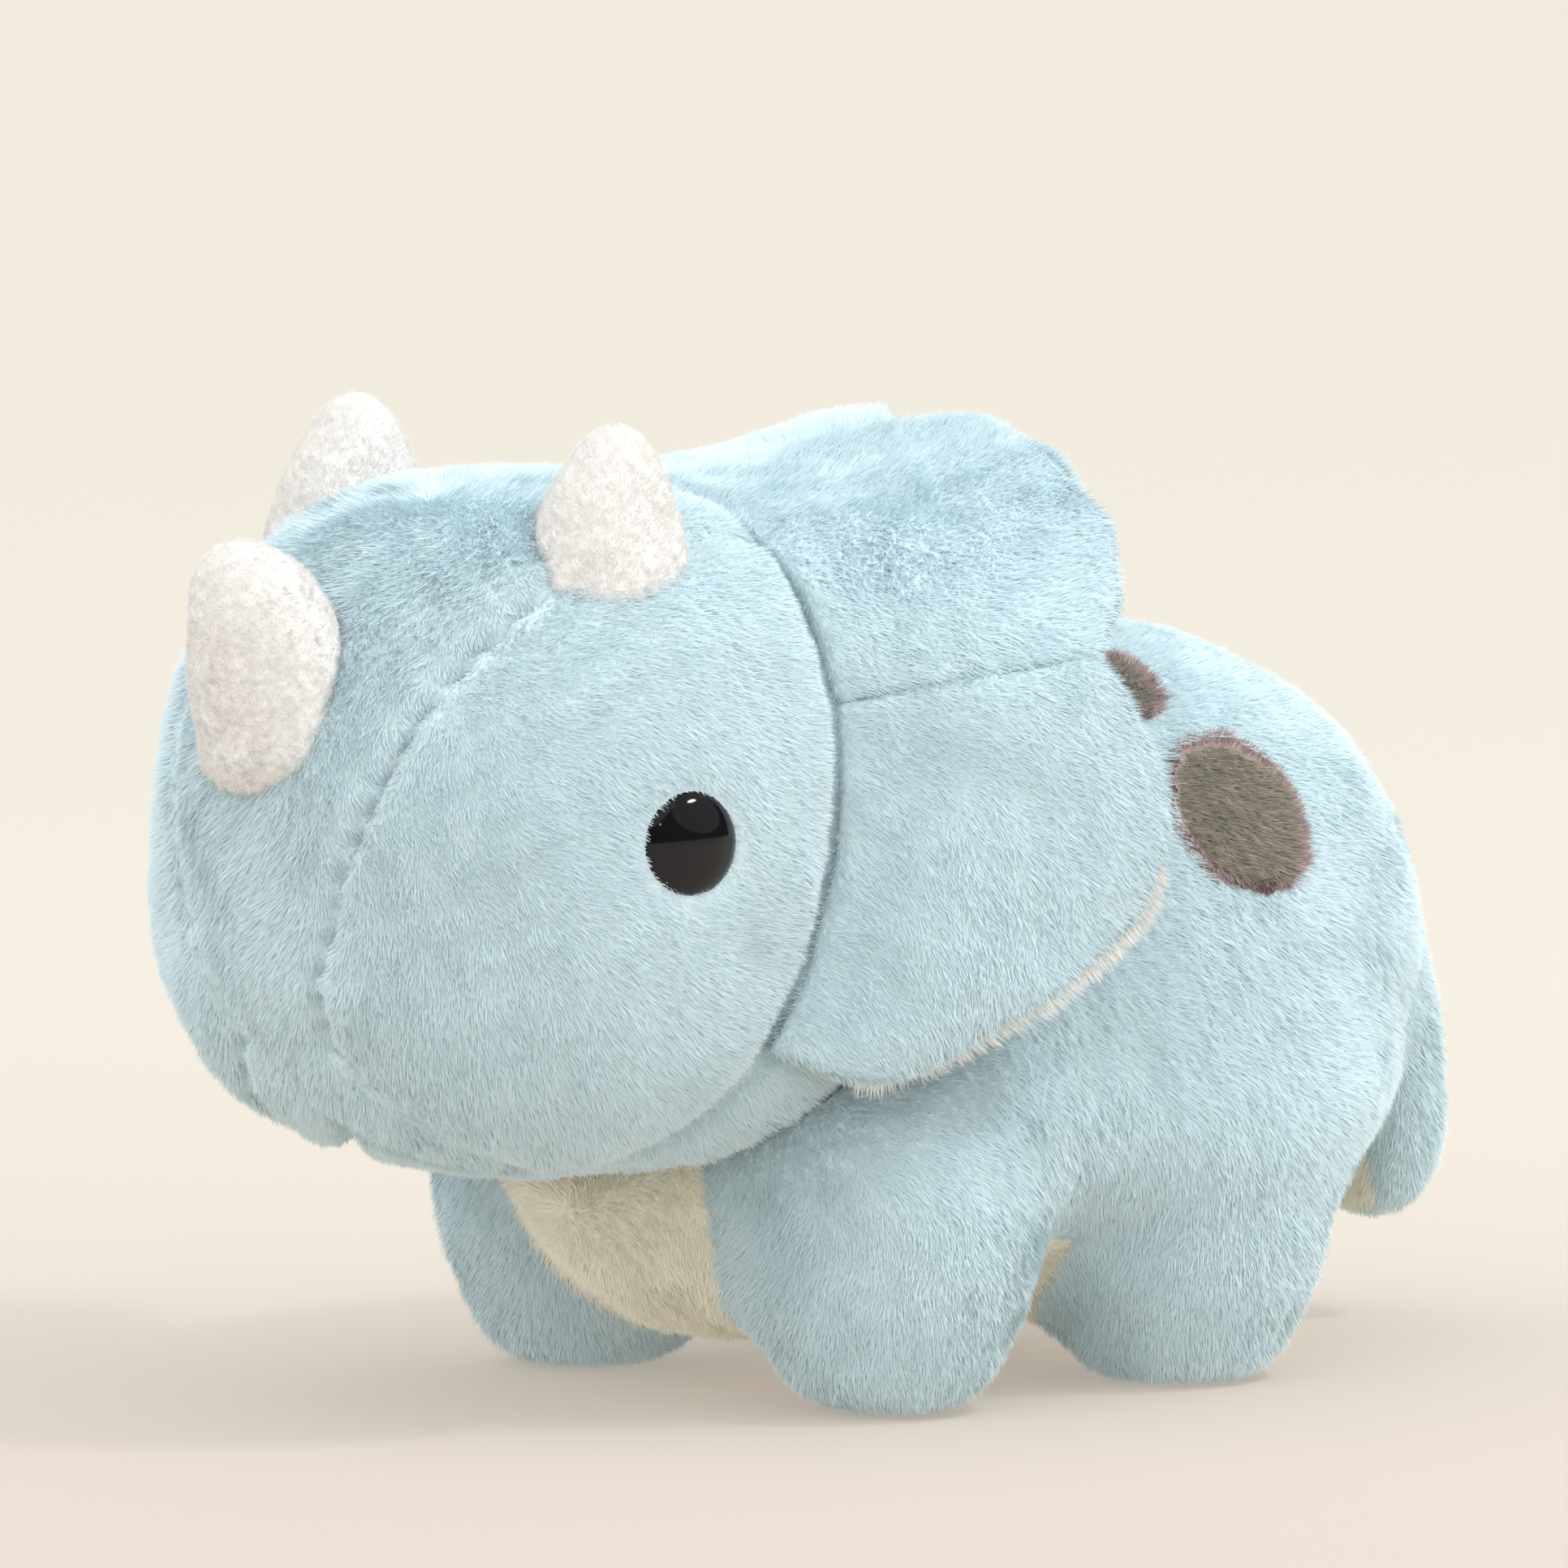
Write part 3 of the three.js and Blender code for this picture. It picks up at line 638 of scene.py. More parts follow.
def head_trim(points):
    """Short along the seams, except under the jaw, and short round the eyes."""
    left = seamed(np.minimum(np.abs(gusset_offset(points)), np.abs(frill_seam_offset(points))))
    left = np.where(points[:, 2] < GUSSET_FOOT - 6 * MM, 0.25 + 0.75 * left, left)
    for centre in EYES.values():
        left = left * (0.45 + 0.55 * smoothstep(gap_to(centre, points), EYE_RADIUS * MM, 10 * MM))
    return left


HEAD_EDGE = 94  # degrees from the way the neck looks: the head's panels end here


def make_head():
    base = ball("head_form", HEAD, head_reach, 5)
    inflate(base, np.abs(gusset_offset(coords(base))), cap=1.2 * MM)
    surface = Surface(sculpt_head(subdivide(base)))
    x, _, z = surface.middles.T
    kept = neck_angle(surface.middles) < HEAD_EDGE
    offset = gusset_offset(surface.middles)
    high = z > GUSSET_FOOT
    panels = {
        "head_left_panel": (offset >= 0) & (x > 0),
        "head_right_panel": (offset >= 0) & (x < 0),
        "head_gusset": (offset < 0) & high,
        "chin_panel": (offset < 0) & ~high,
    }
    for name, inside in panels.items():
        for piece in panel(name, surface, inside & kept, "blue_plush", head_flow, name, trim=head_trim):
            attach(piece, "head")


# ---- Frill ----

SIDE_SEAM = 67  # degrees round from the top
RIM = np.array([  # degrees round, distance from the head's axis, and distance behind the ring, mm
    (0, 52.5, 53), (18, 54, 56), (38, 56.5, 54), (55, 59.5, 49), (SIDE_SEAM, 63.5, 40),
    (84, 67.5, 41), (100, 68, 34), (111, 65, 20), (FRILL_END, 60, 4),
])
FRILL_PILE = 0.5 * MM  # the pile reaches this far beyond the rim
FRINGE_FROM = 92  # degrees round: from here on the lining's pale pile shows along the rim
PETALS = {"upper": (-0.3, SIDE_SEAM + 0.6), "lower": (SIDE_SEAM - 0.6, FRILL_END)}
PETAL_PUFF = {"upper": 0.6 * MM, "lower": 1.4 * MM}
LINING_PILE = {"upper": 1.5 * MM, "lower": 2.2 * MM}


def smooth_curve(at, xs, ys):
    """A smooth curve through points, by cubic pieces with averaged slopes."""
    slopes = np.gradient(ys, xs)
    index = np.clip(np.searchsorted(xs, at) - 1, 0, len(xs) - 2)
    width = xs[index + 1] - xs[index]
    t = np.clip((at - xs[index]) / width, 0, 1)
    a = ys[index] * (2 * t**3 - 3 * t**2 + 1) + ys[index + 1] * (3 * t**2 - 2 * t**3)
    return a + width * (slopes[index] * (t**3 - 2 * t**2 + t) + slopes[index + 1] * (t**3 - t**2))


def frill_face(degrees, t, side):
    """A point on the frill's outer face, by degrees round and how far out to the rim, 0 to 1."""
    around = np.radians(degrees)
    out = np.stack([np.sin(around), np.zeros_like(around), np.cos(around)], axis=1)
    semi = np.array((HEAD_WIDTH, HEAD_LENGTH, HEAD_RISE))
    ring = super_reach(out, semi, FRILL_POWER) - 1.5 * MM
    rim = smooth_curve(degrees, RIM[:, 0], RIM[:, 1] * MM) - FRILL_PILE
    behind = smooth_curve(degrees, RIM[:, 0], RIM[:, 2] * MM) - FRILL_PILE
    forward = frill_forward(degrees)
    swell = (-3.5 + 6 * smoothstep(degrees, 15, 60)) * MM
    radius = ring + (rim - ring) * t + swell * np.sin(math.pi * t)
    y = FRILL_RING - forward + (behind + forward) * t
    return np.stack([side * out[:, 0] * radius, y, HEAD.z + out[:, 2] * radius], axis=1)


def petal_form(name, start, end, side):
    """A flat pillow: the outer face, and the lining behind it, sewn all round."""
    across, along = 22, 14
    share, t = np.meshgrid(np.linspace(0, 1, across), np.linspace(0, 1, along))
    share, t = share.ravel(), t.ravel()
    corner = 1 - 0.10 * (np.abs(2 * share - 1) ** 6)
    degrees = start + (end - start) * share
    reach = t * corner
    small = 1e-3
    face = frill_face(degrees, reach, side)
    round_way = frill_face(degrees + small * 60, reach, side) - frill_face(degrees - small * 60, reach, side)
    out_way = frill_face(degrees, reach + small, side) - frill_face(degrees, reach - small, side)
    outwards = unit(np.cross(round_way, out_way)) * side
    if (outwards[len(outwards) // 2] @ (face[len(face) // 2] - np.array(HEAD))) < 0:
        outwards = -outwards
    edge = np.minimum.reduce([(t + 0.12) * 3.0, (1 - t) * 5.0, share * 8 + 0.25, (1 - share) * 8 + 0.25])
    thick = 4.6 * MM * np.sqrt(np.clip(edge, 0, 1)) + 1.4 * MM
    lining = face - outwards * thick[:, None]
    count = len(face)
    quads = grid_faces(along, across, False)
    if side > 0:
        quads = quads[:, ::-1]
    index = np.arange(count).reshape(along, across)
    loop = np.concatenate([index[0, :-1], index[:-1, -1], index[-1, :0:-1], index[:0:-1, 0]])
    after = np.roll(loop, -1)
    walls = np.stack([loop, after, after + count, loop + count], axis=1)
    if side < 0:
        walls = walls[:, ::-1]
    every = np.concatenate([quads, quads[:, ::-1] + count, walls])
    piece = mesh_piece(name, np.concatenate([face, lining]), every)
    bm = bmesh.new()
    bm.from_mesh(piece.data)
    bmesh.ops.recalc_face_normals(bm, faces=bm.faces)
    bm.to_mesh(piece.data)
    bm.free()
    marks = {"is_face": (np.ones(count), np.zeros(count)), "reach": (t, t), "degrees": (degrees, degrees)}
    for key, values in marks.items():
        mark = piece.data.attributes.new(key, "FLOAT", "POINT")
        mark.data.foreach_set("value", np.concatenate(values))
    held = np.minimum.reduce([t * 40 * MM, share * 50 * MM, (1 - share) * 50 * MM])
    return piece, np.concatenate([held, held])


def frill_flow(points):
    """Outwards from the head's axis, and back."""
    flow = points - np.array((0, 0, HEAD.z))
    flow[:, 1] = 15 * MM
    flow[:, 2] -= 38 * MM
    return flow


def make_petal(part, side_name, side):
    name = f"frill_{part}_{side_name}"
    form, held = petal_form(f"{name}_form", *PETALS[part], side)
    inflate(form, held, cap=PETAL_PUFF[part], pressure=3.0, hold=2 * MM)
    fine = lumpy(relax(subdivide(form), 3), 0.4 * MM, 16 * MM, 51)
    layers = [fine.data.attributes[key].data for key in ("is_face", "reach", "degrees")]
    marks = [read(layer, "value", width=1)[:, 0] for layer in layers]
    surface = Surface(fine)
    face_share, reach, degrees = (mark[surface.faces].mean(axis=1) for mark in marks)
    bottom = degrees > FRINGE_FROM
    at_rim = reach > 0.88
    outer = (face_share > np.where(bottom, 0.5, 0.03)) | (reach < 0.12) | (at_rim & ~bottom)
    pieces = panel(name, surface, outer, "blue_plush", frill_flow, name, fill=0.4)
    pieces += panel(f"{name}_lining", surface, ~outer, "cream_plush", frill_flow,
                    f"frill_lining_{part}_{side_name}", f"frill_batting_{part}_{side_name}", fill=0.4,
                    length=LINING_PILE[part], lift=16, density=0.9)
    if part == "lower":
        fringe = ~outer & at_rim & bottom
        pieces.append(pile(f"{name}_rim_pile", surface, fringe, "white_plush", frill_flow,
                           length=3.4 * MM, lift=45, density=1.6))
    for piece in pieces:
        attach(piece, "head")


# ---- Body ----

LEGS = {
    f"{end}_{side}": JOINTS[f"leg_{end}_{side}_swing"]
    for end in ("front", "hind") for side in SIDES
}
LEG_FULL = 29  # mm up, where a leg is widest
LEG_PROFILE = (  # radius and height, mm
    (11.2, 0), (13.6, 2.4), (16.6, 7), (19.6, 14), (21, 20), (21.6, LEG_FULL), (20, 38), (14, 47), (0, 53))
LEG_ROOM = PILE_ROOM * 0.6
BELLY_SEAM = np.array([(-60, 62), (-19, 60), (-10, 36), (8, 22), (40, 18), (75, 26), (110, 40)]) * MM


def belly_offset(points):
    """How far above the belly's seam a point is."""
    shift = TORSO.y - 31 * MM
    return points[:, 2] - np.interp(points[:, 1] - shift, BELLY_SEAM[:, 0], BELLY_SEAM[:, 1])


TAIL_ROOT = 84  # the tail joint's y in the rings' own measure, mm
TAIL_SIDES = 32
TAIL_RINGS = (  # y, z, half width and half depth, mm
    (82.5, 71, 12, 9), (86.5, 59, 14, 12), (91.5, 47, 14, 11), (94.5, 36, 13, 9.2),
    (96.5, 26, 12, 8.3), (96, 18, 10, 6.4), (95.5, 14.5, 7, 4.5))


def tail_form():
    shift = TAIL_AT.y - TAIL_ROOT * MM
    angles = np.linspace(0, 2 * math.pi, TAIL_SIDES, endpoint=False)
    bm = bmesh.new()
    verts = []
    for y, z, wide, deep in TAIL_RINGS:
        xs = np.cos(angles) * (wide * MM - PILE_ROOM)
        ys = np.sin(angles) * (deep * MM - PILE_ROOM) + y * MM + shift
        verts += [bm.verts.new((*flat, z * MM)) for flat in zip(xs, ys)]
    for quad in grid_faces(len(TAIL_RINGS), TAIL_SIDES, True):
        bm.faces.new([verts[i] for i in quad])
    bm.faces.new(verts[:TAIL_SIDES])
    bm.faces.new(verts[-TAIL_SIDES:][::-1])
    bmesh.ops.recalc_face_normals(bm, faces=bm.faces)
    return from_bmesh("tail_form", bm)


def leg_form(at):
    outline = [(0, 0)] + [(max(0, radius * MM - LEG_ROOM), height * MM) for radius, height in LEG_PROFILE]
    piece = turned("leg_form", outline, 40)
    piece.data.transform(Matrix.Translation((at.x, at.y, 0.9 * MM)))
    return piece


def on_the_tail(points):
    """1 on the tail, where no seam of the body goes, and 0 away from it."""
    behind = smoothstep(points[:, 1], TAIL_AT.y - 2 * MM, TAIL_AT.y + 2 * MM)
    return behind * (np.abs(points[:, 0]) < 20 * MM)


def body_seams(points):
    """The distance to the nearest seam of the body: the belly's and the back's."""
    back = np.where(belly_offset(points) > 4 * MM, np.abs(points[:, 0]), 1.0)
    return np.minimum(back, np.abs(belly_offset(points))) + 30 * MM * on_the_tail(points)


def body_trim(points):
    return seamed(body_seams(points))


def one_way(way):
    """A nap that is brushed the same way everywhere."""
    return lambda points: np.tile(np.array(way, float), (len(points), 1))


def body_flow(points):
    """Back and down over the flanks, straight down the legs and the tail."""
    low = smoothstep(-points[:, 2], -45 * MM, -22 * MM)[:, None]
    flank = np.array((0, 0.55, -0.85))
    down = np.array((0, 0.05, -1.0))
    flow = flank * (1 - low) + down * low
    flow[:, 0] += 0.25 * np.sign(points[:, 0]) * (1 - low[:, 0])
    return flow


class Spot:
    """An oval patch on the flank, measured from its CAD node."""

    def __init__(self, node):
        self.node = node
        co = coords(frame["nodes"][node])
        self.middle = co.mean(axis=0)
        self.axes = np.linalg.eigh(np.cov((co - self.middle).T))[1][:, ::-1]
        self.half = np.abs((co - self.middle) @ self.axes).max(axis=0)

    def share(self, points):
        """0 at the middle of the spot and 1 at its edge, large away from it."""
        local = (points - self.middle) @ self.axes
        share = np.hypot(local[:, 0] / self.half[0], local[:, 1] / self.half[1])
        wobble = 0.03 * wave_noise(points, 6 * MM, 61)
        return np.where(np.abs(local[:, 2]) < 12 * MM, share + wobble, 99.0)

    def outward(self, points):
        return points - self.middle


SPOTS = [Spot(f"{size}_spot_{side}") for size in ("big", "small") for side in SIDES]
BORDER = 1.6 * MM  # the width of a spot's border


def off_form(points, centre, semi, power):
    """Roughly how far points are outside a rounded form."""
    from_centre = points - np.array(centre)
    return np.linalg.norm(from_centre, axis=1) - super_reach(unit(from_centre), semi, power)


def off_trunk(points):
    return blended(off_form(points, *TORSO_FORM), off_form(points, *CHEST_FORM), 14 * MM)


def off_leg(points, at):
    flat = np.hypot(points[:, 0] - at.x, points[:, 1] - at.y)
    outline = np.array([pair for pair in LEG_PROFILE if pair[1] <= LEG_FULL]) * MM
    below = (flat - np.interp(points[:, 2], outline[:, 1], outline[:, 0])) * 0.93
    return np.where(points[:, 2] > at.z, gap_to(at, points) - outline[-1, 0], below)


def blended(first, second, reach):
    """The lower of two distances, rounded where they meet, like cloth across a crease."""
    close = np.maximum(reach - np.abs(first - second), 0) / reach
    return np.minimum(first, second) - close**2 * reach / 4


BODY_PILE = 1.0 * MM  # the draped skin lies this far inside its form, and the pile fills it


def drape(body, times):
    """Fills the creases where the legs and the chest join the torso, as one taut skin does."""
    for _ in range(times):
        co = coords(body)
        off = off_trunk(co)
        for at in LEGS.values():
            off = blended(off, off_leg(co, at), 12 * MM + 14 * MM * smoothstep(co[:, 2], 18 * MM, 40 * MM))
        away = 1 - smoothstep(co[:, 1], TAIL_AT.y - 8 * MM, TAIL_AT.y - 2 * MM) * (np.abs(co[:, 0]) < 22 * MM)
        away *= smoothstep(co[:, 2], 2 * MM, 6 * MM)
        move = np.clip(off + BODY_PILE, -4 * MM, 1 * MM) * away
        set_coords(body, co - normals(body) * move[:, None])
    return body


def leg_share(points):
    """Each leg's number for points that belong to it, and -1 elsewhere."""
    owner = np.full(len(points), -1)
    trunk = off_trunk(points)
    for index, at in enumerate(LEGS.values()):
        near = np.hypot(points[:, 0] - at.x, points[:, 1] - at.y) < 30 * MM
        owner[(off_leg(points, at) < trunk) & (points[:, 2] < 46 * MM) & near] = index
    return owner


HEAD_MOVES = (  # the head's turn and nod in degrees, and how near to it is too near, mm
    (0, 0, -0.4), (8, 0, -2.0), (-8, 0, -2.0), (0, 3, -1.3), (0, -8, -3.0))


def turned_back(points, turn, nod):
    """Where points would be on the head if it were turned and nodded by so many degrees."""
    turning = Matrix.Rotation(math.radians(turn), 3, "Z") @ Matrix.Rotation(math.radians(nod), 3, "X")
    return (points - np.array(NECK)) @ np.array(turning) + np.array(NECK)


def in_the_way(points):
    """Whether the head would press deep into each point in any of its moves."""
    pressed = np.zeros(len(points), bool)
    for turn, nod, room in HEAD_MOVES:
        from_head = turned_back(points, turn, nod) - np.array(HEAD)
        far = np.linalg.norm(from_head, axis=1)
        pressed |= far < head_reach(unit(from_head)) + room * MM
    return pressed


INNER_LAYER = 1.8 * MM  # how far the cloth that a lifted tail uncovers lies under the outer skin


def tail_inner_face():
    """The tail's own cloth where it lies against the torso."""
    form = relax(subdivide(tail_form()), 2)
    set_coords(form, coords(form) - normals(form) * INNER_LAYER)
    surface = Surface(form)
    z = surface.middles[:, 2]
    inside = (z > 26 * MM) & (z < TAIL_AT.z)
    return panel("tail_inner", surface, inside, "blue_plush", body_flow, length=1.1 * MM)


def close_behind_the_tail():
    """The torso's own cloth behind the tail."""
    surface = Surface(rounded("torso_back_form", *TORSO_FORM, PILE_ROOM + INNER_LAYER, 6))
    x, y, z = surface.middles.T
    inside = (y > TORSO.y) & (np.abs(x) < 22 * MM) & (z > 18 * MM) & (z < TAIL_AT.z + 2 * MM)
    for piece in panel("torso_back", surface, inside, "blue_plush", body_flow, length=1.0 * MM):
        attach(piece, "torso")


def close_under_the_head():
    """The hollow that the head presses into the body, which shows when the head lifts or turns."""
    surface = Surface(ball("hollow_form", HEAD, lambda d: head_reach(d) + 0.2 * MM, 6))
    surface.normals = -surface.normals
    surface.faces = surface.faces[:, ::-1]
    middles = surface.middles
    within = off_trunk(middles) < 0.3 * MM
    for at in LEGS.values():
        within |= (off_leg(middles, at) < 0.3 * MM) & (middles[:, 2] < 50 * MM)
    within &= gap_to(NECK, middles) > 27 * MM
    pale = (belly_offset(middles) < 0) & (np.abs(middles[:, 0]) < BELLY_HALF)
    for name, inside, slot in (("torso_hollow", within & ~pale, "blue_plush"),
                               ("belly_hollow", within & pale, "cream_plush")):
        for piece in panel(name, surface, inside, slot, body_flow, length=1.0 * MM):
            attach(piece, "torso")


BELLY_HALF = 16 * MM  # the belly panel's half width between the legs
BELLY_TOPS = 36 * MM, 27 * MM  # how high the belly panel reaches outside it, in front and behind


def body_form():
    """One puffed skin over the torso, the chest, the tail and the legs, with its seams pulled in."""
    torso = rounded("torso_form", *TORSO_FORM, PILE_ROOM, 5)
    chest = rounded("chest_form", *CHEST_FORM, PILE_ROOM, 4)
    parts = [torso, chest, tail_form()] + [leg_form(at) for at in LEGS.values()]
    body = relax(remesh(joined("body_form", parts), 2.6 * MM), 3)
    body = drape(relax(drape(body, 5), 3), 1)
    co = coords(body)
    inflate(body, np.minimum(body_seams(co), np.maximum(co[:, 2] - 3 * MM, 0)), cap=0.8 * MM)
    body = subdivide(body)
    co = coords(body)
    out = normals(body)
    leg_gap = np.min([off_leg(co, at) for at in LEGS.values()], axis=0)
    pull = SEAM_DEPTH * np.exp(-((np.abs(belly_offset(co)) / SEAM_REACH) ** 2))
    pull *= smoothstep(leg_gap, 2 * MM, 7 * MM)
    pull += 0.5 * SEAM_DEPTH * np.exp(-((co[:, 0] / SEAM_REACH) ** 2)) * (belly_offset(co) > 0)
    pull *= 1 - on_the_tail(co)
    pull += 0.4 * MM * wave_noise(co, 25 * MM, 52)
    co = co - out * pull[:, None]
    co[:, 2] = np.maximum(co[:, 2], 0.25 * MM)
    set_coords(body, co)
    return body


def make_spots(surface, blue):
    """The patches and their fuzzy borders. Returns the faces that they take."""
    spotted = np.zeros(len(blue), bool)
    for spot in SPOTS:
        share = spot.share(surface.middles)
        rim = 1 - BORDER / spot.half[:2].mean()
        patch = blue & (share < rim)
        border = blue & (share >= rim) & (share < 1)
        spotted |= patch | border
        pieces = panel(spot.node, surface, patch, "grey_plush", body_flow, spot.node,
                       length=1.7 * MM, lift=45)
        edge_name = spot.node.replace("spot", "spot_border")
        pieces += panel(edge_name, surface, border, "mauve_thread", spot.outward, edge_name,
                        length=1.5 * MM, lift=40, density=1.6, swirl=45)
        for piece in pieces:
            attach(piece, "torso")
    return spotted


def make_torso(surface, free):
    x, y, z = surface.middles.T
    front, behind = BELLY_TOPS
    belly_top = np.where(y > TORSO.y + 30 * MM, behind, front)
    belly = (belly_offset(surface.middles) < 0) & ((z < belly_top) | (np.abs(x) < BELLY_HALF))
    blue = free & ~belly
    blue &= ~make_spots(surface, blue)
    pieces = []
    for name, inside in (("torso_left_panel", blue & (x > 0)), ("torso_right_panel", blue & (x <= 0))):
        pieces += panel(name, surface, inside, "blue_plush", body_flow, name, trim=body_trim)
    pieces += panel("belly_panel", surface, free & belly, "cream_plush", one_way((0, 1, 0.1)), "belly_panel",
                    density=0.9, trim=body_trim)
    for piece in pieces:
        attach(piece, "torso")


def make_legs(surface, owner, kept):
    for index, (name, at) in enumerate(LEGS.items()):
        inside = (owner == index) & kept
        sole = inside & (surface.middles[:, 2] < 1.2 * MM)
        under = skin(f"leg_{name}_sole_cloth", surface, sole, "blue_plush", f"leg_{name}_sole")
        cover = panel(f"leg_{name}", surface, inside & ~sole, "blue_plush", body_flow, f"leg_{name}_cover")
        for piece in (under, *cover):
            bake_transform(piece)


def make_tail(surface, tail):
    facing = surface.normals[surface.faces].mean(axis=1)
    front = tail & (facing[:, 1] < -0.6) & (np.abs(surface.middles[:, 0]) < 6 * MM)
    pieces = panel("tail_top", surface, tail & ~front, "blue_plush", body_flow, "tail_top_panel")
    pieces += panel("tail_under", surface, front, "cream_plush", body_flow, "tail_under_panel")
    for piece in pieces + tail_inner_face():
        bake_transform(piece)


def make_body():
    surface = Surface(body_form())
    x, y, z = surface.middles.T
    kept = ~in_the_way(surface.middles)
    owner = leg_share(surface.middles)
    tail = (y > TAIL_AT.y + 1 * MM) & (z < TAIL_AT.z + 4 * MM) & (np.abs(x) < 17 * MM)
    make_torso(surface, (owner < 0) & ~tail & kept)
    make_legs(surface, owner, kept)
    make_tail(surface, tail)
    close_behind_the_tail()
    close_under_the_head()


# ---- Neck, horns, eyes and stuffing ----

NECK_MIDDLE = 97.5  # degrees round from the way the neck looks


def neck_reach(directions):
    """Out to the torso's skin or the head's, whichever is further, and a little under it."""
    steps = np.linspace(20, 60, 81) * MM
    along = directions[:, None, :] * steps[None, :, None]

    def way_to(centre, reach):
        inside = np.array(NECK) - np.array(centre) + along
        far = np.linalg.norm(inside, axis=2)
        limit = reach(unit(inside.reshape(-1, 3))).reshape(far.shape)
        return steps[np.argmax(np.where(far < limit, steps, 0), axis=1)]

    torso_way = way_to(TORSO, lambda found: super_reach(found, *TORSO_FORM[1:]))
    angle = neck_angle(np.array(NECK) + directions)
    sink = 1.5 * MM + 3 * MM * ((angle - NECK_MIDDLE) / 15) ** 2
    return np.minimum(np.maximum(torso_way, way_to(HEAD, head_reach)), 44 * MM) - sink


def make_neck():
    """The skin between head and chest, in a front half and a back half."""
    surface = Surface(relax(ball("neck_form", NECK, neck_reach, 6), 4))
    angle = neck_angle(surface.middles)
    parts = {
        "neck_front": ((angle > 82) & (angle <= NECK_MIDDLE), "neck", "head", -4 * MM, 6 * MM),
        "neck_back": ((angle > NECK_MIDDLE) & (angle < 114), "torso", "neck", -12 * MM, 0.0),
    }
    for name, (inside, first, second, start, end) in parts.items():
        for piece in panel(name, surface, inside, "blue_plush", body_flow, length=2.0 * MM, lift=45):
            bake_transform(piece)


HORN_RADIUS = 12 * MM
HORN_FLARE = 1.0 * MM
HORN_TUCK = ((7, -8), (9.6, -7), (11.4, -5.4), (12.5, -3.6), (13, -1.8))  # radius and height, mm
HORNS = {  # foot from the head's centre, the way it points, and its length
    "nose_horn": (Vector((0, -39, 17)) * MM, Vector((0, -11, 25)), 27.3 * MM),
}
for side, sign in SIDES.items():
    HORNS[f"brow_horn_{side}"] = (
        Vector((sign * 27, -8, 27)) * MM, Vector((sign * 0.5, 2.5, 30)), 30.1 * MM)


def make_horn(name, foot, along, length):
    """A stubby white horn, slightly lumpy with filling, with short and dense pile."""
    outline = [(0, HORN_TUCK[0][1] * MM)] + [(radius * MM, height * MM) for radius, height in HORN_TUCK]
    steps = 30
    for i in range(steps + 1):
        t = 1 - (1 - i / steps) ** 1.8
        radius = HORN_RADIUS * math.sqrt(max(0, 1 - t**3)) * (1 - 0.2 * t) + HORN_FLARE * math.exp(-8 * t)
        outline.append((radius, t * (length - 0.5 * MM)))
    outline[-1] = (0, outline[-1][1])
    horn = stand(turned(f"{name}_form", outline, 64), HEAD + foot, along)
    surface = Surface(lumpy(horn, 0.25 * MM, 14 * MM, 81))
    every = np.ones(len(surface.faces), bool)
    for piece in panel(name, surface, every, "white_plush", one_way(along.normalized()), f"{name}_cover",
                       length=0.7 * MM, lift=50, density=3.6, width=0.45):
        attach(piece, "head")


def make_eye(side, sign):
    """A domed safety eye with a narrow rim and a shank, and its washer."""
    outline = [(0, -5.2), (1.55, -5.2), (1.6, -4.9), (1.6, -0.4), (7.0, -0.4), (7.35, -0.2)]
    steps = 22
    for i in range(steps + 1):
        angle = i / steps * math.pi / 2
        outline.append((EYE_RADIUS * math.cos(angle) if i < steps else 0, 0.25 + 3.9 * math.sin(angle)))
    eye = turned(f"eye_{side}_dome", [(r * MM, h * MM) for r, h in outline], 72)
    stand(eye, EYES[side], (sign * EYE_FACING.x, EYE_FACING.y, EYE_FACING.z))
    eye.data.materials.append(EYE)
    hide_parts(f"eye_{side}")
    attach(eye, "head")
    washer = frame["nodes"][f"eye_washer_{side}"]
    washer.data.materials.clear()
    washer.data.materials.append(WASHER)


def make_stuffing(node):
    """Loose fibre filling: the CAD solid, made lumpy, with its edges rounded."""
    source = frame["nodes"][node]
    piece = add_object(f"{node}_fibre", source.data.copy())
    relax(remesh(piece, 2.6 * MM), 4)
    co = coords(piece)
    inwards = (2.2 if node == "tail_stuffing" else 1.3) * MM + 0.5 * MM * wave_noise(co, 12 * MM, 91)
    set_coords(piece, co - normals(piece) * inwards[:, None])
    piece.data.materials.clear()
    piece.data.materials.append(STUFFING)
    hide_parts(node)
    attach(piece, source["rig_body"])


# ---- Stage, light and camera ----

CAMERA_AZIMUTH = 50
CAMERA_ELEVATION = 6.4
CAMERA_DISTANCE = 4.0
FRAME_WIDTH = 0.2128


def direction(azimuth, elevation):
    a, e = math.radians(azimuth), math.radians(elevation)
    return Vector((math.cos(e) * math.sin(a), -math.cos(e) * math.cos(a), math.sin(e)))


def aim(thing, way):
    """Turns a light or a camera to look along a direction."""
    thing.rotation_euler = way.to_track_quat("-Z", "Y").to_euler()


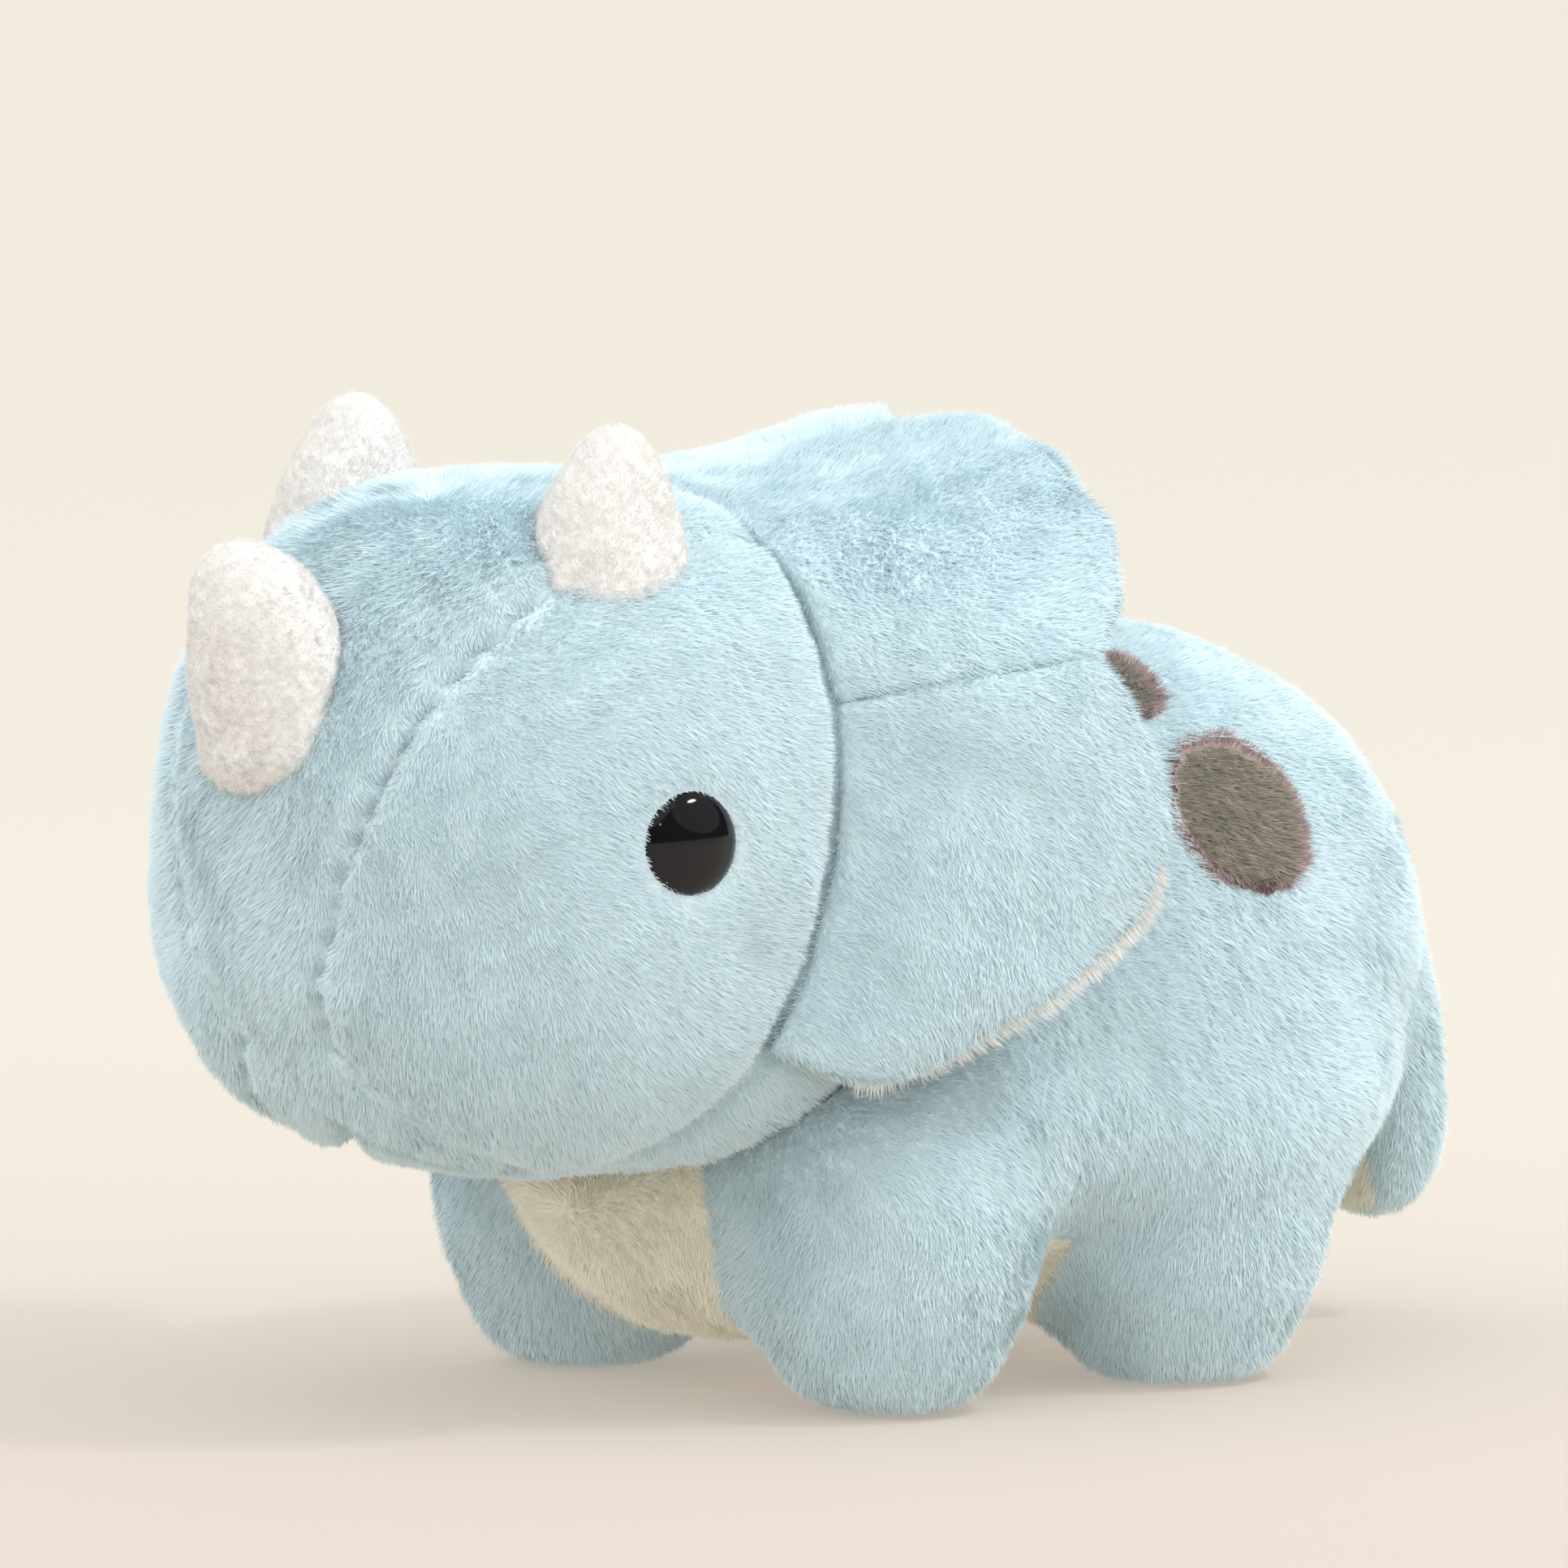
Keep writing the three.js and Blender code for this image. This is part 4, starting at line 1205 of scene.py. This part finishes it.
def make_floor():
    """A plain warm sweep with painted light: painted shade makes it a little darker towards the camera, and a
    painted glow of its own keeps the shadows on it faint.
    """
    corners = np.array([(-30, -30, 0), (30, -30, 0), (30, 30, 0), (-30, 30, 0)])
    floor = mesh_piece("floor", corners, np.array([[0, 1, 2, 3]]), smooth=False)
    # The emission is a painted glow: the floor gives off light though it is no lamp, which fills in the
    # shadows on it.
    material, shader = surface_material("warm_paper_painted_light", {"Roughness": 0.9, "Emission Strength": 0.95})
    # Painted shade: the colour darkens towards the camera, standing in for light that falls off there.
    along = add_node(material, "VectorMath")
    along.operation = "DOT_PRODUCT"
    along.inputs[1].default_value = -direction(CAMERA_AZIMUTH, 0)
    distance = add_node(material, "MapRange", From_Min=-0.4, From_Max=0.55)
    distance.interpolation_type = "SMOOTHSTEP"
    place = add_node(material, "TexCoord")
    wire(material, (place, "Object", along, 0), (along, "Value", distance, "Value"))
    ramp = colour_by(material, distance, shader, (0.345, 0.303, 0.265), (0.39, 0.368, 0.32))
    # The same painted-shade colour also drives the painted glow.
    wire(material, (ramp, "Color", shader, "Emission Color"))
    floor.data.materials.append(material)


def area_light(name, azimuth, elevation, distance, size, power):
    """A soft oval light, aimed at the middle of the toy."""
    data = bpy.data.lights.new(name, "AREA")
    data.shape = "ELLIPSE"
    data.size = size
    data.size_y = size * 0.4
    data.energy = power
    light = add_object(name, data)
    middle = Vector((0, 0, 0.07))
    light.location = middle + direction(azimuth, elevation) * distance
    aim(light, middle - light.location)


def make_sun(name, azimuth, elevation, strength, softness):
    data = bpy.data.lights.new(name, "SUN")
    data.energy = strength
    data.angle = math.radians(softness)
    aim(add_object(name, data), -direction(azimuth, elevation))


def make_lights():
    """A bright even room that is dark in reflections, two soft suns and two small soft lights."""
    world = bpy.data.worlds.new("studio")
    world.use_nodes = True
    background = world.node_tree.nodes["Background"]
    background.inputs["Color"].default_value = (1.0, 0.99, 0.975, 1)
    strength = add_node(world, "MapRange", To_Min=1.12, To_Max=0.05)
    wire(world, (add_node(world, "LightPath"), "Is Glossy Ray", strength, "Value"),
         (strength, "Result", background, "Strength"))
    bpy.context.scene.world = world
    make_sun("key", 10, 58, 0.65, 70)
    make_sun("fill", 120, 40, 0.42, 70)
    area_light("window", 120, 52, 1.2, 0.3, 4)
    area_light("strip", 47, 27, 1.5, 0.05, 0.25)


def make_camera():
    data = bpy.data.cameras.new("camera")
    data.sensor_width = 36
    data.lens = 36 * CAMERA_DISTANCE / FRAME_WIDTH
    data.clip_end = 100
    camera = add_object("camera", data)
    target = NECK + Vector((0, 4.8, 14.1)) * MM
    camera.location = target + direction(CAMERA_AZIMUTH, CAMERA_ELEVATION) * CAMERA_DISTANCE
    aim(camera, target - camera.location)
    bpy.context.scene.camera = camera
    bpy.context.scene.view_settings.view_transform = "Standard"


make_camera()
make_head()
for side, sign in SIDES.items():
    for part in PETALS:
        make_petal(part, side, sign)
make_body()
make_neck()
for horn, (foot, along, length) in HORNS.items():
    make_horn(horn, foot, along, length)
for side, sign in SIDES.items():
    make_eye(side, sign)
for node in list(frame["nodes"]):
    if node.endswith("_stuffing"):
        make_stuffing(node)
make_floor()
make_lights()
